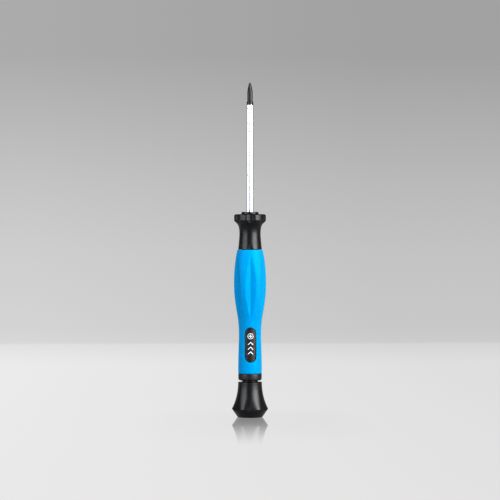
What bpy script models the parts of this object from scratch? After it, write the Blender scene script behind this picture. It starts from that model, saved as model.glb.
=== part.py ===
"""Precision screwdriver: a fixed blade, a two-material grip and a swivel cap on a small ball bearing.

Every size is in millimetres, and MM turns it into Blender's metres. The tool stands on its cap at the origin,
+Z runs up its axis to the tip, and azimuth 0 faces -Y, where the label is.
"""

import math

import bmesh
import bpy
from mathutils import Vector

MM = 0.001
TURN = 2 * math.pi
GAP = 0.05  # between pieces that are pressed, moulded or screwed together
SLEEVE_GAP = 0.12  # between the soft sleeve and the keyed spine inside it
SHARP_ANGLE = math.radians(30)  # edges sharper than this stay crisp in the shading
BODY_MARK_SIZE = 10

# Six grooves run round the handle: one at azimuth 0 and one every 60 degrees.
SECTORS = 6
EVEN_HALF_WIDTH = math.radians(15)
TIP_HALF_WIDTH = math.radians(3)
COLUMN_SPREAD = math.radians(4)  # how fast a groove's columns spread out past its tips, per millimetre
VALLEY_ROUNDING = 0.3
GROOVE_TAPER = 0.8

# Blade: a round shank, a shoulder and a cross-point tip; its tail is pressed oval so that it can't turn.
SHANK_RADIUS = 1.5
TIP_RADIUS = 1.2
TOTAL_LENGTH = 155.0
SHOULDER_Z = 146.2
SHOULDER_CHAMFER = 0.25
OGIVE_LENGTH = 5.0
APEX_RADIUS = 0.35
APEX_DROP = 0.15
OGIVE_POWER = 0.55
OGIVE_STEPS = (0, 0.25, 0.45, 0.62, 0.78, 0.9, 1)
TIP_FLUTES = 4
TIP_FLUTE_START = 148.4
TIP_FLUTE_OVERSHOOT = 0.6
TIP_FLUTE_ROOT = (0.3, 1.32)  # radius of the flute's root at the apex and where it runs out
TIP_FLUTE_SIZE = 1.6
TAIL_Z = (61.0, 68.0)
TAIL_OVAL = (2.1, 1.0)
TAIL_TAPER = 1.5
TAIL_CHAMFER = 0.3

# Handle core: collar, neck, the spine inside the grip, and the spigot that carries the ferrule.
SPIGOT_RADIUS = 3.45
SPIGOT_Z = (17.15, 20.25)
SPINE_RADIUS = 3.9
KEY_DEPTH = 0.3
KEY_Z = (46.0, 76.0)
KEY_FADE = 3.0
CORE_SHOULDER_Z = 77.6
NECK_OUTLINE = ((77.6, 5.48), (81.0, 5.14), (85.3, 4.88), (88.0, 5.19), (89.3, 5.8), (90.8, 7.23))
NECK_HEIGHTS = (77.6, 79.3, 81.0, 83.1, 85.3, 86.7, 88.0, 88.7, 89.3, 89.75, 90.2, 90.8)
COLLAR_RADIUS = 7.35
COLLAR_Z = (91.05, 93.45)
COLLAR_TOP = 93.9
COLLAR_CHAMFER = 0.45
COLLAR_VALLEY = ((89.7, 6.15), (93.9, 6.6))  # (z, radius) at the ends of a flute's valley
COLLAR_DEEP = 0.75  # a flute has its full width where it is at least this deep
COLLAR_HALF_WIDTH = math.radians(16.5)
BUSH_BORE = (2.35, 87.9)  # radius and floor of the pocket for the nose bush
INSERT_BORE = (1.95, 26.0)  # radius and roof of the pocket for the threaded insert

# Nose bush
NOSE_DISC_RADIUS = 3.95
NOSE_DISC_Z = (93.95, 95.0)
NOSE_CHAMFER = 0.25
NOSE_SLEEVE_RADIUS = 2.3
NOSE_SLEEVE_Z = 88.0

# Grip sleeve
GRIP_OUTLINE = (
    (20.15, 5.42), (24.0, 5.44), (31.0, 5.29), (38.3, 5.10), (44.4, 5.43), (50.0, 6.32),
    (56.0, 7.13), (62.3, 7.39), (68.7, 7.14), (74.0, 6.52), (77.5, 5.86),
)
GRIP_HEIGHTS = (24.0, 31.0, 38.3, 42.0)  # of the rings below the scallops
GRIP_TOP_RING_Z = 76.2
GRIP_WIDEST_Z = 62.3
GRIP_END_ROUND = 0.3
GRIP_END_SHARE = 0.3  # how far along that rounding its middle ring is
SCALLOP_STEPS = 12
SCALLOP_Z = (44.7, 74.8)
SCALLOP_HALF_WIDTH = math.radians(20)

# Label plate and its window
LABEL_HALF_WIDTH = 2.6
LABEL_HEIGHT = 16.0
LABEL_CENTRE_Z = 33.5
LABEL_RADIUS = 4.92
LABEL_ARC_STEPS = 6
LABEL_SPARE = 1.0  # height of the blank that is cut off beyond each end of the label
WINDOW_DEPTH = (-7.0, -1.5)

# Tail ferrule
FERRULE_RADIUS = 5.39
FERRULE_Z = (17.1, 20.1)
FERRULE_CHAMFER = 0.45

# Swivel axle: insert, shoulder screw, washer, spacer
INSERT_RADIUS = 1.85
INSERT_GROOVE = 0.15
INSERT_Z = (17.3, 25.3)
THREAD_RADIUS = 1.22
INSERT_HOLE = 1.27
SCREW_HEAD_RADIUS = 2.3
SCREW_HEAD_Z = (10.3, 11.9)
SCREW_CHAMFER = 0.25
SCREW_SHOULDER_RADIUS = 1.45
SCREW_SHOULDER_TOP = 17.2
SCREW_TOP = 25.0
SOCKET_RADIUS = 0.87
SOCKET_DEPTH = 0.9
SOCKET_OVERSHOOT = 1.0
WASHER_Z = (11.96, 12.54)
WASHER_RADII = (1.52, 2.3)
WASHER_SPLIT = math.radians(12)
SPACER_BORE = 1.55
SPACER_NECK_RADIUS = 2.2
SPACER_FLANGE_RADIUS = 3.6
SPACER_Z = (15.66, 16.32, 17.05)

# Ball bearing, 3 x 8 x 3 mm: its contact radii set how fast the cage follows the cap
BEARING_Z = (12.6, 15.6)
BEARING_BORE = 1.5
BEARING_OUTER = 4.0
INNER_LAND = 2.25
OUTER_LAND = 3.25
BALL_PITCH = 2.75
BALL_RADIUS = 0.75
BALL_COUNT = 7
BALL_SEGMENTS = (12, 8)
GROOVE_RADIUS = 0.8
GROOVE_STEPS = 6
SHIELD_SEAT = (3.55, 0.35)  # radius and depth of the recess that a shield sits in
SHIELD_RADII = (2.33, 3.5)
SHIELD_INSET = 0.1
SHIELD_THICKNESS = 0.2
CAGE_RADII = (2.5, 3.0)
CAGE_Z = (13.0, 14.5)
POCKET_RADIUS = 0.82

# Swivel cap
CAP_BASE_RADIUS = 5.74
CAP_EDGE_RADIUS = 8.35
CAP_EDGE_Z = 3.86
CAP_TOP_RADIUS = 5.5
CAP_TOP_Z = 16.2
CAP_TOP_CHAMFER = 0.2
FLARE_POWER = 2.15
FLARE_HEIGHTS = (4.9, 6.0, 7.2, 8.5, 10.0, 12.0, 14.0)
LOBE_DEPTH = 0.62
LOBE_TOP_Z = 9.5
LOBE_FADE_POWER = 1.5
CAP_HOLE_RADIUS = 2.9
CAP_SEAT_RADIUS = 4.05
CAP_SEAT_TOP = 15.66
CIRCLIP_GROOVE_RADIUS = 4.5
CIRCLIP_GROOVE_Z = (12.02, 12.54)
CAP_WELL_RADIUS = 4.12
PLUG_BORE = (4.65, 1.6)  # radius and height of the counterbore for the plug
PLUG_RADIUS = 4.6
PLUG_Z = (0.2, 1.55)
PLUG_SKIRT = (3.3, 4.05, 4.0)  # inner radius, outer radius, top
PLUG_DIMPLE = (2.4, 0.5)  # radius and height of the shallow dish underneath
CIRCLIP_Z = (12.08, 12.48)
CIRCLIP_RADII = (3.55, 4.45)
CIRCLIP_OPENING = math.radians(50)
CLIP_STEPS = 20

ROUND = 36
SMALL_ROUND = 24

FINISHES = {  # sRGB colour, roughness, metallic
    "blade": ("EDEEF2", 0.12, 1.0),
    "nose_bush": ("232326", 0.4, 0.0),
    "handle_core": ("28282C", 0.35, 0.0),
    "grip_sleeve": ("0096F0", 0.5, 0.0),
    "label_plate": ("2D2C31", 0.5, 0.0),
    "tail_ferrule": ("303033", 0.6, 0.0),
    "threaded_insert": ("B8933F", 0.35, 1.0),
    "shoulder_screw": ("9A9CA0", 0.3, 1.0),
    "lock_washer": ("6E7074", 0.35, 1.0),
    "spacer_bush": ("4A4C50", 0.4, 1.0),
    "bearing_inner_ring": ("C9CBCF", 0.15, 1.0),
    "bearing_outer_ring": ("C9CBCF", 0.15, 1.0),
    "bearing_shield_upper": ("A8AAAE", 0.3, 1.0),
    "bearing_shield_lower": ("A8AAAE", 0.3, 1.0),
    "bearing_cage": ("A98B45", 0.35, 1.0),
    "bearing_ball": ("E2E4E8", 0.05, 1.0),
    "retaining_ring": ("4A4C50", 0.4, 1.0),
    "cap_shell": ("28282C", 0.35, 0.0),
    "cap_plug": ("232326", 0.45, 0.0),
}


# Points and rings

def polar(azimuth, radius, z):
    """A point at this azimuth: 0 faces -Y, and a positive azimuth turns towards +X."""
    return (radius * math.sin(azimuth), -radius * math.cos(azimuth), z)


def even(count):
    return [TURN * step / count for step in range(count)]


def ring(place, azimuths):
    """A ring of points, where place(azimuth) gives the radius and the height."""
    return [polar(azimuth, *place(azimuth)) for azimuth in azimuths]


def flat_ring(radius, z, azimuths):
    """A ring at one height; a ring of no radius is a single point on the axis."""
    if radius == 0:
        return [(0.0, 0.0, z)]
    return [polar(azimuth, radius, z) for azimuth in azimuths]


def oval_ring(radii, z, azimuths):
    wide, thin = radii
    return [(wide * math.sin(azimuth), -thin * math.cos(azimuth), z) for azimuth in azimuths]


def between(start, end, count):
    return [start + (end - start) * step / count for step in range(count + 1)]


def smooth(outline, z):
    """The radius at height z on a smooth curve through the outline's (z, radius) points."""
    heights = [point[0] for point in outline]
    index = max(i for i in range(len(outline) - 1) if i == 0 or heights[i] <= z)
    (z0, r0), (z1, r1) = outline[index], outline[index + 1]

    def slope(i):
        before, after = outline[max(i - 1, 0)], outline[min(i + 1, len(outline) - 1)]
        return (after[1] - before[1]) / (after[0] - before[0])

    length = z1 - z0
    t = (z - z0) / length
    rise = (3 - 2 * t) * t * t
    leave, arrive = t * (1 - t) ** 2, t * t * (t - 1)
    return r0 + (r1 - r0) * rise + length * (slope(index) * leave + slope(index + 1) * arrive)


# Grooves

def groove_columns(half_width):
    """Azimuths with a column on each groove's valley, its two edges and the middle of each land."""
    sector = TURN / SECTORS
    steps = (0, half_width / 2, half_width, sector / 2, sector - half_width, sector - half_width / 2)
    return [number * sector + step for number in range(SECTORS) for step in steps]


def groove_half_width(depth, deepest, widest):
    """A groove with sloping walls is as wide as it is deep, from its tips to its middle."""
    if depth <= 0:
        return TIP_HALF_WIDTH
    return max(TIP_HALF_WIDTH, widest * min(1, depth / deepest) ** GROOVE_TAPER)


def grooved_radius(azimuth, radius, depth, half_width):
    """The radius at an azimuth, with a V-shaped groove of rounded valley in the middle of each sector."""
    sector = TURN / SECTORS
    offset = abs((azimuth + sector / 2) % sector - sector / 2) / half_width
    if depth <= 0 or offset >= 1:
        return radius
    deepest = math.hypot(1, VALLEY_ROUNDING) - VALLEY_ROUNDING
    fraction = (math.hypot(1, VALLEY_ROUNDING) - math.hypot(offset, VALLEY_ROUNDING)) / deepest
    return radius - depth * fraction


def grooved_ring(radius, z, depth, half_width):
    return ring(lambda azimuth: (grooved_radius(azimuth, radius, depth, half_width), z), groove_columns(half_width))


# Meshes

def bridge(mesh, lower, upper):
    count = max(len(lower), len(upper))
    for step in range(count):
        after = (step + 1) % count
        corners = (lower[step % len(lower)], lower[after % len(lower)],
                   upper[after % len(upper)], upper[step % len(upper)])
        mesh.faces.new(list(dict.fromkeys(corners)))


def skin(rings):
    """A closed body through a series of rings, which starts and ends on the axis or comes back to its start."""
    mesh = bmesh.new()
    loops = [[mesh.verts.new(Vector(point) * MM) for point in points] for points in rings]
    on_axis = len(rings[0]) == 1
    for lower, upper in zip(loops, loops[1:] if on_axis else loops[1:] + loops[:1]):
        bridge(mesh, lower, upper)
    bmesh.ops.recalc_face_normals(mesh, faces=mesh.faces)
    return mesh


def turned(outline, count=ROUND):
    """A turned body from an outline of (radius, z) points."""
    return skin([flat_ring(radius, z, even(count)) for radius, z in outline])


def loft(first, last):
    """A body between two outlines that have the same number of points."""
    mesh = bmesh.new()
    lower, upper = ([mesh.verts.new(Vector(point) * MM) for point in outline] for outline in (first, last))
    bridge(mesh, lower, upper)
    mesh.faces.new(lower)
    mesh.faces.new(upper)
    bmesh.ops.recalc_face_normals(mesh, faces=mesh.faces)
    return mesh


def linear(channel):
    return channel / 12.92 if channel <= 0.04045 else ((channel + 0.055) / 1.055) ** 2.4


def finish(name, key):
    """The piece's own Principled material."""
    hex_colour, roughness, metallic = FINISHES[key]
    material = bpy.data.materials.new(name)
    material.use_nodes = True
    shader = material.node_tree.nodes["Principled BSDF"]
    channels = [linear(int(hex_colour[i:i + 2], 16) / 255) for i in (0, 2, 4)]
    shader.inputs["Base Color"].default_value = (*channels, 1)
    shader.inputs["Roughness"].default_value = roughness
    shader.inputs["Metallic"].default_value = metallic
    return material


def solid(name, mesh, body, key=None):
    """An object for one piece. Its origin is on the tool's axis, which every joint turns about."""
    data = bpy.data.meshes.new(name)
    mesh.to_mesh(data)
    mesh.free()
    data.shade_smooth()
    data.set_sharp_from_angle(angle=SHARP_ANGLE)
    data.materials.append(finish(name, key or name))
    piece = bpy.data.objects.new(name, data)
    piece.parent = body
    bpy.context.scene.collection.objects.link(piece)
    return piece


def boolean(piece, name, mesh, operation="DIFFERENCE"):
    """Cuts a piece with a hidden body, or keeps what lies inside it."""
    data = bpy.data.meshes.new(name)
    mesh.to_mesh(data)
    mesh.free()
    cutter = bpy.data.objects.new(name, data)
    cutter.hide_render = True
    cutter.display_type = "WIRE"
    cutter.parent = piece.parent
    bpy.context.scene.collection.objects.link(cutter)
    modifier = piece.modifiers.new(name, "BOOLEAN")
    modifier.operation = operation
    modifier.solver = "EXACT"
    modifier.object = cutter


def body(name):
    empty = bpy.data.objects.new(name, None)
    empty.empty_display_size = BODY_MARK_SIZE * MM
    bpy.context.scene.collection.objects.link(empty)
    return empty


# Blade

def tip_outline():
    """The ogive from the shoulder to the apex."""
    start = TOTAL_LENGTH - OGIVE_LENGTH
    rise = OGIVE_LENGTH - APEX_DROP
    points = [(SHANK_RADIUS, SHOULDER_Z - SHOULDER_CHAMFER), (SHANK_RADIUS - SHOULDER_CHAMFER, SHOULDER_Z),
              (TIP_RADIUS, SHOULDER_Z)]
    for t in OGIVE_STEPS:
        radius = APEX_RADIUS + (TIP_RADIUS - APEX_RADIUS) * (1 - t ** (1 / OGIVE_POWER))
        points.append((radius, start + rise * t))
    return points + [(0, TOTAL_LENGTH)]


def tip_flute(azimuth):
    """A square bar whose edge is the root of one flute in the tip."""
    ends = zip(TIP_FLUTE_ROOT, (TOTAL_LENGTH + TIP_FLUTE_OVERSHOOT, TIP_FLUTE_START))
    sections = []
    for root, z in ends:
        out = Vector(polar(azimuth, 1, 0))
        side = Vector((-out.y, out.x, 0))
        edge = out * root + Vector((0, 0, z))
        corner = out * TIP_FLUTE_SIZE
        sections.append([edge, edge + corner + side * TIP_FLUTE_SIZE, edge + corner * 2,
                         edge + corner - side * TIP_FLUTE_SIZE])
    return loft(*sections)


def tail_rings(growth, azimuths):
    """The oval end that locks the blade in the core; the core's pocket is the same shape, a little bigger."""
    low, high = TAIL_Z[0] - growth, TAIL_Z[1] + growth
    oval = [radius + growth for radius in TAIL_OVAL]
    tip = [radius - TAIL_CHAMFER for radius in oval]
    shank = SHANK_RADIUS + growth
    return [[(0.0, 0.0, low)], oval_ring(tip, low, azimuths), oval_ring(oval, low + TAIL_CHAMFER, azimuths),
            oval_ring(oval, high - TAIL_TAPER, azimuths), oval_ring((shank, shank), high, azimuths)]


def make_blade(handle):
    azimuths = even(SMALL_ROUND)
    rings = tail_rings(0, azimuths) + [flat_ring(radius, z, azimuths) for radius, z in tip_outline()]
    blade = solid("blade", skin(rings), handle)
    for number in range(TIP_FLUTES):
        azimuth = TURN * (number + 0.5) / TIP_FLUTES
        boolean(blade, f"tip_flute_{number + 1}", tip_flute(azimuth))


# Handle

def key_depth(z):
    """The spine's six shallow keyways fade out at both ends of the soft grip's thick part."""
    inside = min(z - KEY_Z[0], KEY_Z[1] - z)
    return KEY_DEPTH * min(1, max(0, inside / KEY_FADE))


def spine_rings(growth, heights):
    return [grooved_ring(SPINE_RADIUS + growth, z, key_depth(z), EVEN_HALF_WIDTH) for z in heights]


SPINE_HEIGHTS = (KEY_Z[0], KEY_Z[0] + KEY_FADE, KEY_Z[1] - KEY_FADE, KEY_Z[1])


def collar_ring(radius, z):
    (low, start), (high, end) = COLLAR_VALLEY
    depth = radius - start - (end - start) * (z - low) / (high - low)
    half_width = groove_half_width(depth, COLLAR_DEEP, COLLAR_HALF_WIDTH)
    if depth <= 0:
        half_width = EVEN_HALF_WIDTH
    return grooved_ring(radius, z, depth, half_width)


def neck_rings():
    rings = [collar_ring(smooth(NECK_OUTLINE, z), z) for z in NECK_HEIGHTS]
    rings += [collar_ring(COLLAR_RADIUS, z) for z in COLLAR_Z]
    rings.append(collar_ring(COLLAR_RADIUS - COLLAR_CHAMFER, COLLAR_TOP))
    return rings


def core_bore_rings():
    """The front bore, from the collar's top face down to the blind end of the blade's pocket."""
    azimuths = groove_columns(EVEN_HALF_WIDTH)
    radius, floor = BUSH_BORE
    rings = [flat_ring(radius, COLLAR_TOP, azimuths), flat_ring(radius, floor, azimuths),
             flat_ring(SHANK_RADIUS + GAP, floor, azimuths)]
    return rings + tail_rings(GAP, azimuths)[::-1]


def make_core(handle):
    azimuths = groove_columns(EVEN_HALF_WIDTH)
    radius, roof = INSERT_BORE
    tail_bore = [flat_ring(0, roof, azimuths), flat_ring(radius, roof, azimuths),
                 flat_ring(radius, SPIGOT_Z[0], azimuths)]
    spigot = [flat_ring(SPIGOT_RADIUS, z, azimuths) for z in SPIGOT_Z]
    spine = [flat_ring(SPINE_RADIUS, SPIGOT_Z[1], azimuths)] + spine_rings(0, SPINE_HEIGHTS)
    spine.append(flat_ring(SPINE_RADIUS, CORE_SHOULDER_Z, azimuths))
    solid("handle_core", skin(tail_bore + spigot + spine + neck_rings() + core_bore_rings()), handle)


def make_nose_bush(handle):
    low, high = NOSE_DISC_Z
    bore = SHANK_RADIUS + GAP
    outline = [(bore, NOSE_SLEEVE_Z), (NOSE_SLEEVE_RADIUS, NOSE_SLEEVE_Z), (NOSE_SLEEVE_RADIUS, low),
               (NOSE_DISC_RADIUS, low), (NOSE_DISC_RADIUS, high - NOSE_CHAMFER),
               (NOSE_DISC_RADIUS - NOSE_CHAMFER, high), (bore, high)]
    solid("nose_bush", turned(outline), handle)


def valley_radius(z):
    """A scallop's valley is a straight line between its two tips."""
    low, high = SCALLOP_Z
    fraction = (z - low) / (high - low)
    return smooth(GRIP_OUTLINE, low) * (1 - fraction) + smooth(GRIP_OUTLINE, high) * fraction


def scallop_ring(z):
    radius = smooth(GRIP_OUTLINE, z)
    beyond = max(SCALLOP_Z[0] - z, z - SCALLOP_Z[1])
    if beyond >= 0:
        return grooved_ring(radius, z, 0, min(EVEN_HALF_WIDTH, TIP_HALF_WIDTH + COLUMN_SPREAD * beyond))
    deepest = smooth(GRIP_OUTLINE, GRIP_WIDEST_Z) - valley_radius(GRIP_WIDEST_Z)
    depth = radius - valley_radius(z)
    return grooved_ring(radius, z, depth, groove_half_width(depth, deepest, SCALLOP_HALF_WIDTH))


def rounded_end(z, inwards):
    """The last two rings of a sleeve's end, which round its edge; inwards is +1 at the bottom end."""
    radius = smooth(GRIP_OUTLINE, z)
    share = GRIP_END_ROUND * GRIP_END_SHARE
    azimuths = groove_columns(EVEN_HALF_WIDTH)
    return [flat_ring(radius - GRIP_END_ROUND, z, azimuths), flat_ring(radius - share, z + inwards * share, azimuths),
            flat_ring(radius, z + inwards * GRIP_END_ROUND, azimuths)]


def pill(half_width, height, y):
    """An upright outline with round ends, in the plane at this y."""
    straight = height / 2 - half_width
    points = []
    for centre, start in ((LABEL_CENTRE_Z + straight, 0), (LABEL_CENTRE_Z - straight, math.pi)):
        for angle in between(start, start + math.pi, LABEL_ARC_STEPS):
            points.append((half_width * math.cos(angle), y, centre + half_width * math.sin(angle)))
    return points


def pill_bar(growth):
    half_width, height = LABEL_HALF_WIDTH + growth, LABEL_HEIGHT + 2 * growth
    return loft(*(pill(half_width, height, y) for y in WINDOW_DEPTH))


def make_grip(handle):
    low, high = GRIP_OUTLINE[0][0], GRIP_OUTLINE[-1][0]
    heights = [*GRIP_HEIGHTS, *between(*SCALLOP_Z, SCALLOP_STEPS), GRIP_TOP_RING_Z]
    outer = rounded_end(low, 1) + [scallop_ring(z) for z in heights] + rounded_end(high, -1)[::-1]
    azimuths = groove_columns(EVEN_HALF_WIDTH)
    inner = [flat_ring(SPINE_RADIUS + SLEEVE_GAP, low, azimuths), *spine_rings(SLEEVE_GAP, SPINE_HEIGHTS),
             flat_ring(SPINE_RADIUS + SLEEVE_GAP, high, azimuths)]
    grip = solid("grip_sleeve", skin(outer + inner[::-1]), handle)
    boolean(grip, "label_window", pill_bar(GAP))


def make_label(handle):
    half = LABEL_HEIGHT / 2 + LABEL_SPARE
    low, high = LABEL_CENTRE_Z - half, LABEL_CENTRE_Z + half
    inner = SPINE_RADIUS + GAP
    outline = [(inner, low), (LABEL_RADIUS, low), (LABEL_RADIUS, high), (inner, high)]
    label = solid("label_plate", turned(outline, 2 * ROUND), handle)
    boolean(label, "label_outline", pill_bar(0), "INTERSECT")


def make_ferrule(handle):
    bore = SPIGOT_RADIUS + GAP
    low, high = FERRULE_Z
    outline = [(bore, low), (FERRULE_RADIUS - FERRULE_CHAMFER, low), (FERRULE_RADIUS, low + FERRULE_CHAMFER),
               (FERRULE_RADIUS, high), (bore, high)]
    solid("tail_ferrule", turned(outline), handle)


# Swivel axle

def make_insert(handle):
    """A brass insert, knurled along its outside."""
    azimuths = even(SMALL_ROUND)
    low, high = INSERT_Z
    knurl = {azimuth: INSERT_RADIUS - INSERT_GROOVE * (number % 2) for number, azimuth in enumerate(azimuths)}
    outside = [ring(lambda azimuth: (knurl[azimuth], z), azimuths) for z in (low, high)]
    inside = [flat_ring(INSERT_HOLE, z, azimuths) for z in (high, low)]
    solid("threaded_insert", skin(outside + inside), handle)


def make_screw(handle):
    low, high = SCREW_HEAD_Z
    outline = [(0, low), (SCREW_HEAD_RADIUS - SCREW_CHAMFER, low), (SCREW_HEAD_RADIUS, low + SCREW_CHAMFER),
               (SCREW_HEAD_RADIUS, high), (SCREW_SHOULDER_RADIUS, high),
               (SCREW_SHOULDER_RADIUS, SCREW_SHOULDER_TOP), (THREAD_RADIUS, SCREW_SHOULDER_TOP),
               (THREAD_RADIUS, SCREW_TOP - SCREW_CHAMFER), (THREAD_RADIUS - SCREW_CHAMFER, SCREW_TOP),
               (0, SCREW_TOP)]
    screw = solid("shoulder_screw", turned(outline, SMALL_ROUND), handle)
    socket = [flat_ring(SOCKET_RADIUS, z, even(6)) for z in (low - SOCKET_OVERSHOOT, low + SOCKET_DEPTH)]
    boolean(screw, "screw_socket", loft(*socket))


def split_ring(radii, heights, opening):
    """A flat ring with a gap in it, centred on azimuth 0."""
    inner, outer = radii
    arc = between(opening / 2, TURN - opening / 2, CLIP_STEPS)
    rings = [[polar(azimuth, radius, z) for radius, z in
              ((inner, heights[0]), (outer, heights[0]), (outer, heights[1]), (inner, heights[1]))]
             for azimuth in arc]
    mesh = bmesh.new()
    loops = [[mesh.verts.new(Vector(point) * MM) for point in points] for points in rings]
    for first, second in zip(loops, loops[1:]):
        bridge(mesh, first, second)
    mesh.faces.new(loops[0])
    mesh.faces.new(loops[-1])
    bmesh.ops.recalc_face_normals(mesh, faces=mesh.faces)
    return mesh


def make_spacer(handle):
    low, middle, high = SPACER_Z
    outline = [(SPACER_BORE, low), (SPACER_NECK_RADIUS, low), (SPACER_NECK_RADIUS, middle),
               (SPACER_FLANGE_RADIUS, middle), (SPACER_FLANGE_RADIUS, high), (SPACER_BORE, high)]
    solid("spacer_bush", turned(outline), handle)


# Ball bearing

def race(land, sign):
    """The points of a ring's ball groove, bottom to top; sign is +1 on the outer ring and -1 on the inner."""
    centre_z = sum(BEARING_Z) / 2
    reach = math.acos(abs(land - BALL_PITCH) / GROOVE_RADIUS)
    return [(BALL_PITCH + sign * GROOVE_RADIUS * math.cos(angle), centre_z + GROOVE_RADIUS * math.sin(angle))
            for angle in between(-reach, reach, GROOVE_STEPS)]


def make_bearing_rings(handle, cap):
    low, high = BEARING_Z
    inner = [(BEARING_BORE, low), (INNER_LAND, low), *race(INNER_LAND, -1), (INNER_LAND, high),
             (BEARING_BORE, high)]
    solid("bearing_inner_ring", turned(inner), handle)
    seat, depth = SHIELD_SEAT
    outer = [(BEARING_OUTER, low), (seat, low), (seat, low + depth), (OUTER_LAND, low + depth),
             *race(OUTER_LAND, 1), (OUTER_LAND, high - depth), (seat, high - depth), (seat, high),
             (BEARING_OUTER, high)]
    solid("bearing_outer_ring", turned(outer), cap)


def make_shields(cap):
    inner, outer = SHIELD_RADII
    low, high = BEARING_Z
    lows = {"bearing_shield_lower": low + SHIELD_INSET,
            "bearing_shield_upper": high - SHIELD_INSET - SHIELD_THICKNESS}
    for name, z in lows.items():
        outline = [(inner, z), (outer, z), (outer, z + SHIELD_THICKNESS), (inner, z + SHIELD_THICKNESS)]
        solid(name, turned(outline), cap)


def ball(azimuth, radius):
    mesh = bmesh.new()
    around, across = BALL_SEGMENTS
    bmesh.ops.create_uvsphere(mesh, u_segments=around, v_segments=across, radius=radius * MM)
    centre = Vector(polar(azimuth, BALL_PITCH, sum(BEARING_Z) / 2)) * MM
    bmesh.ops.translate(mesh, verts=mesh.verts, vec=centre)
    return mesh


def make_ball_set(ball_set):
    """Seven balls, and the crown-shaped cage that spaces them."""
    inner, outer = CAGE_RADII
    low, high = CAGE_Z
    outline = [(inner, low), (outer, low), (outer, high), (inner, high)]
    cage = solid("bearing_cage", turned(outline, 4 * BALL_COUNT), ball_set)
    for number, azimuth in enumerate(even(BALL_COUNT), start=1):
        boolean(cage, f"cage_pocket_{number}", ball(azimuth, POCKET_RADIUS))
        solid(f"bearing_ball_{number}", ball(azimuth, BALL_RADIUS), ball_set, "bearing_ball")


# Swivel cap

def flare_radius(z):
    """The cap's concave flare, upright at its top."""
    fall = (CAP_TOP_Z - z) / (CAP_TOP_Z - CAP_EDGE_Z)
    return CAP_TOP_RADIUS + (CAP_EDGE_RADIUS - CAP_TOP_RADIUS) * fall ** FLARE_POWER


def lobe_depth(azimuth, z):
    """Six shallow waves round the flare's wide end, which fade out up the flare."""
    fade = max(0, (LOBE_TOP_Z - z) / (LOBE_TOP_Z - CAP_EDGE_Z)) ** LOBE_FADE_POWER
    return LOBE_DEPTH * fade * (0.5 + 0.5 * math.cos(SECTORS * azimuth))


def flare_place(azimuth, z):
    return flare_radius(z) - lobe_depth(azimuth, z), z


def edge_place(azimuth):
    """The widest edge, where the flare meets the cone below it: lower where a wave makes the flare thinner."""
    radius = CAP_EDGE_RADIUS - lobe_depth(azimuth, CAP_EDGE_Z)
    return radius, CAP_EDGE_Z * (radius - CAP_BASE_RADIUS) / (CAP_EDGE_RADIUS - CAP_BASE_RADIUS)


def cap_outside(azimuths):
    rings = [flat_ring(CAP_BASE_RADIUS, 0, azimuths), ring(edge_place, azimuths)]
    for z in (*FLARE_HEIGHTS, CAP_TOP_Z - CAP_TOP_CHAMFER):
        rings.append(ring(lambda azimuth: flare_place(azimuth, z), azimuths))
    rings.append(flat_ring(CAP_TOP_RADIUS - CAP_TOP_CHAMFER, CAP_TOP_Z, azimuths))
    return rings


def cap_inside(azimuths):
    """From the hole in the top, down the bearing seat and the well, to the counterbore for the plug."""
    groove_low, groove_high = CIRCLIP_GROOVE_Z
    bore, bore_top = PLUG_BORE
    outline = [(CAP_HOLE_RADIUS, CAP_TOP_Z), (CAP_HOLE_RADIUS, CAP_SEAT_TOP), (CAP_SEAT_RADIUS, CAP_SEAT_TOP),
               (CAP_SEAT_RADIUS, groove_high), (CIRCLIP_GROOVE_RADIUS, groove_high),
               (CIRCLIP_GROOVE_RADIUS, groove_low), (CAP_WELL_RADIUS, groove_low), (CAP_WELL_RADIUS, bore_top),
               (bore, bore_top), (bore, 0)]
    return [flat_ring(radius, z, azimuths) for radius, z in outline]


def make_cap(cap):
    azimuths = even(ROUND)
    solid("cap_shell", skin(cap_outside(azimuths) + cap_inside(azimuths)), cap)
    solid("retaining_ring", split_ring(CIRCLIP_RADII, CIRCLIP_Z, CIRCLIP_OPENING), cap)


def make_plug(cap):
    low, high = PLUG_Z
    skirt_inner, skirt_outer, skirt_top = PLUG_SKIRT
    dimple_radius, dimple_top = PLUG_DIMPLE
    outline = [(0, dimple_top), (dimple_radius, dimple_top), (dimple_radius, low), (PLUG_RADIUS, low),
               (PLUG_RADIUS, high), (skirt_outer, high), (skirt_outer, skirt_top), (skirt_inner, skirt_top),
               (skirt_inner, high), (0, high)]
    solid("cap_plug", turned(outline), cap)


def main():
    for item in list(bpy.data.objects):
        bpy.data.objects.remove(item)
    handle, cap, ball_set = body("handle"), body("cap"), body("ball_set")
    make_blade(handle)
    make_core(handle)
    make_nose_bush(handle)
    make_grip(handle)
    make_label(handle)
    make_ferrule(handle)
    make_insert(handle)
    make_screw(handle)
    solid("lock_washer", split_ring(WASHER_RADII, WASHER_Z, WASHER_SPLIT), handle)
    make_spacer(handle)
    make_bearing_rings(handle, cap)
    make_shields(cap)
    make_ball_set(ball_set)
    make_cap(cap)
    make_plug(cap)


main()
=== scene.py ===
# %% [markdown]
# # A precision screwdriver that spins under one fingertip
# The tool is six visible pieces on one axis: a chromed blade with a blackened cross-point tip, a black core whose
# collar the fingers twirl, a soft blue sleeve, a name plate in a window of that sleeve, a ferrule, and a flared
# cap that turns on a ball bearing. The CAD model fixes where each of them is. This lesson gives each one its true
# surface: fine meshes first, then a finish made the way the real one was, and then the studio.

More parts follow.
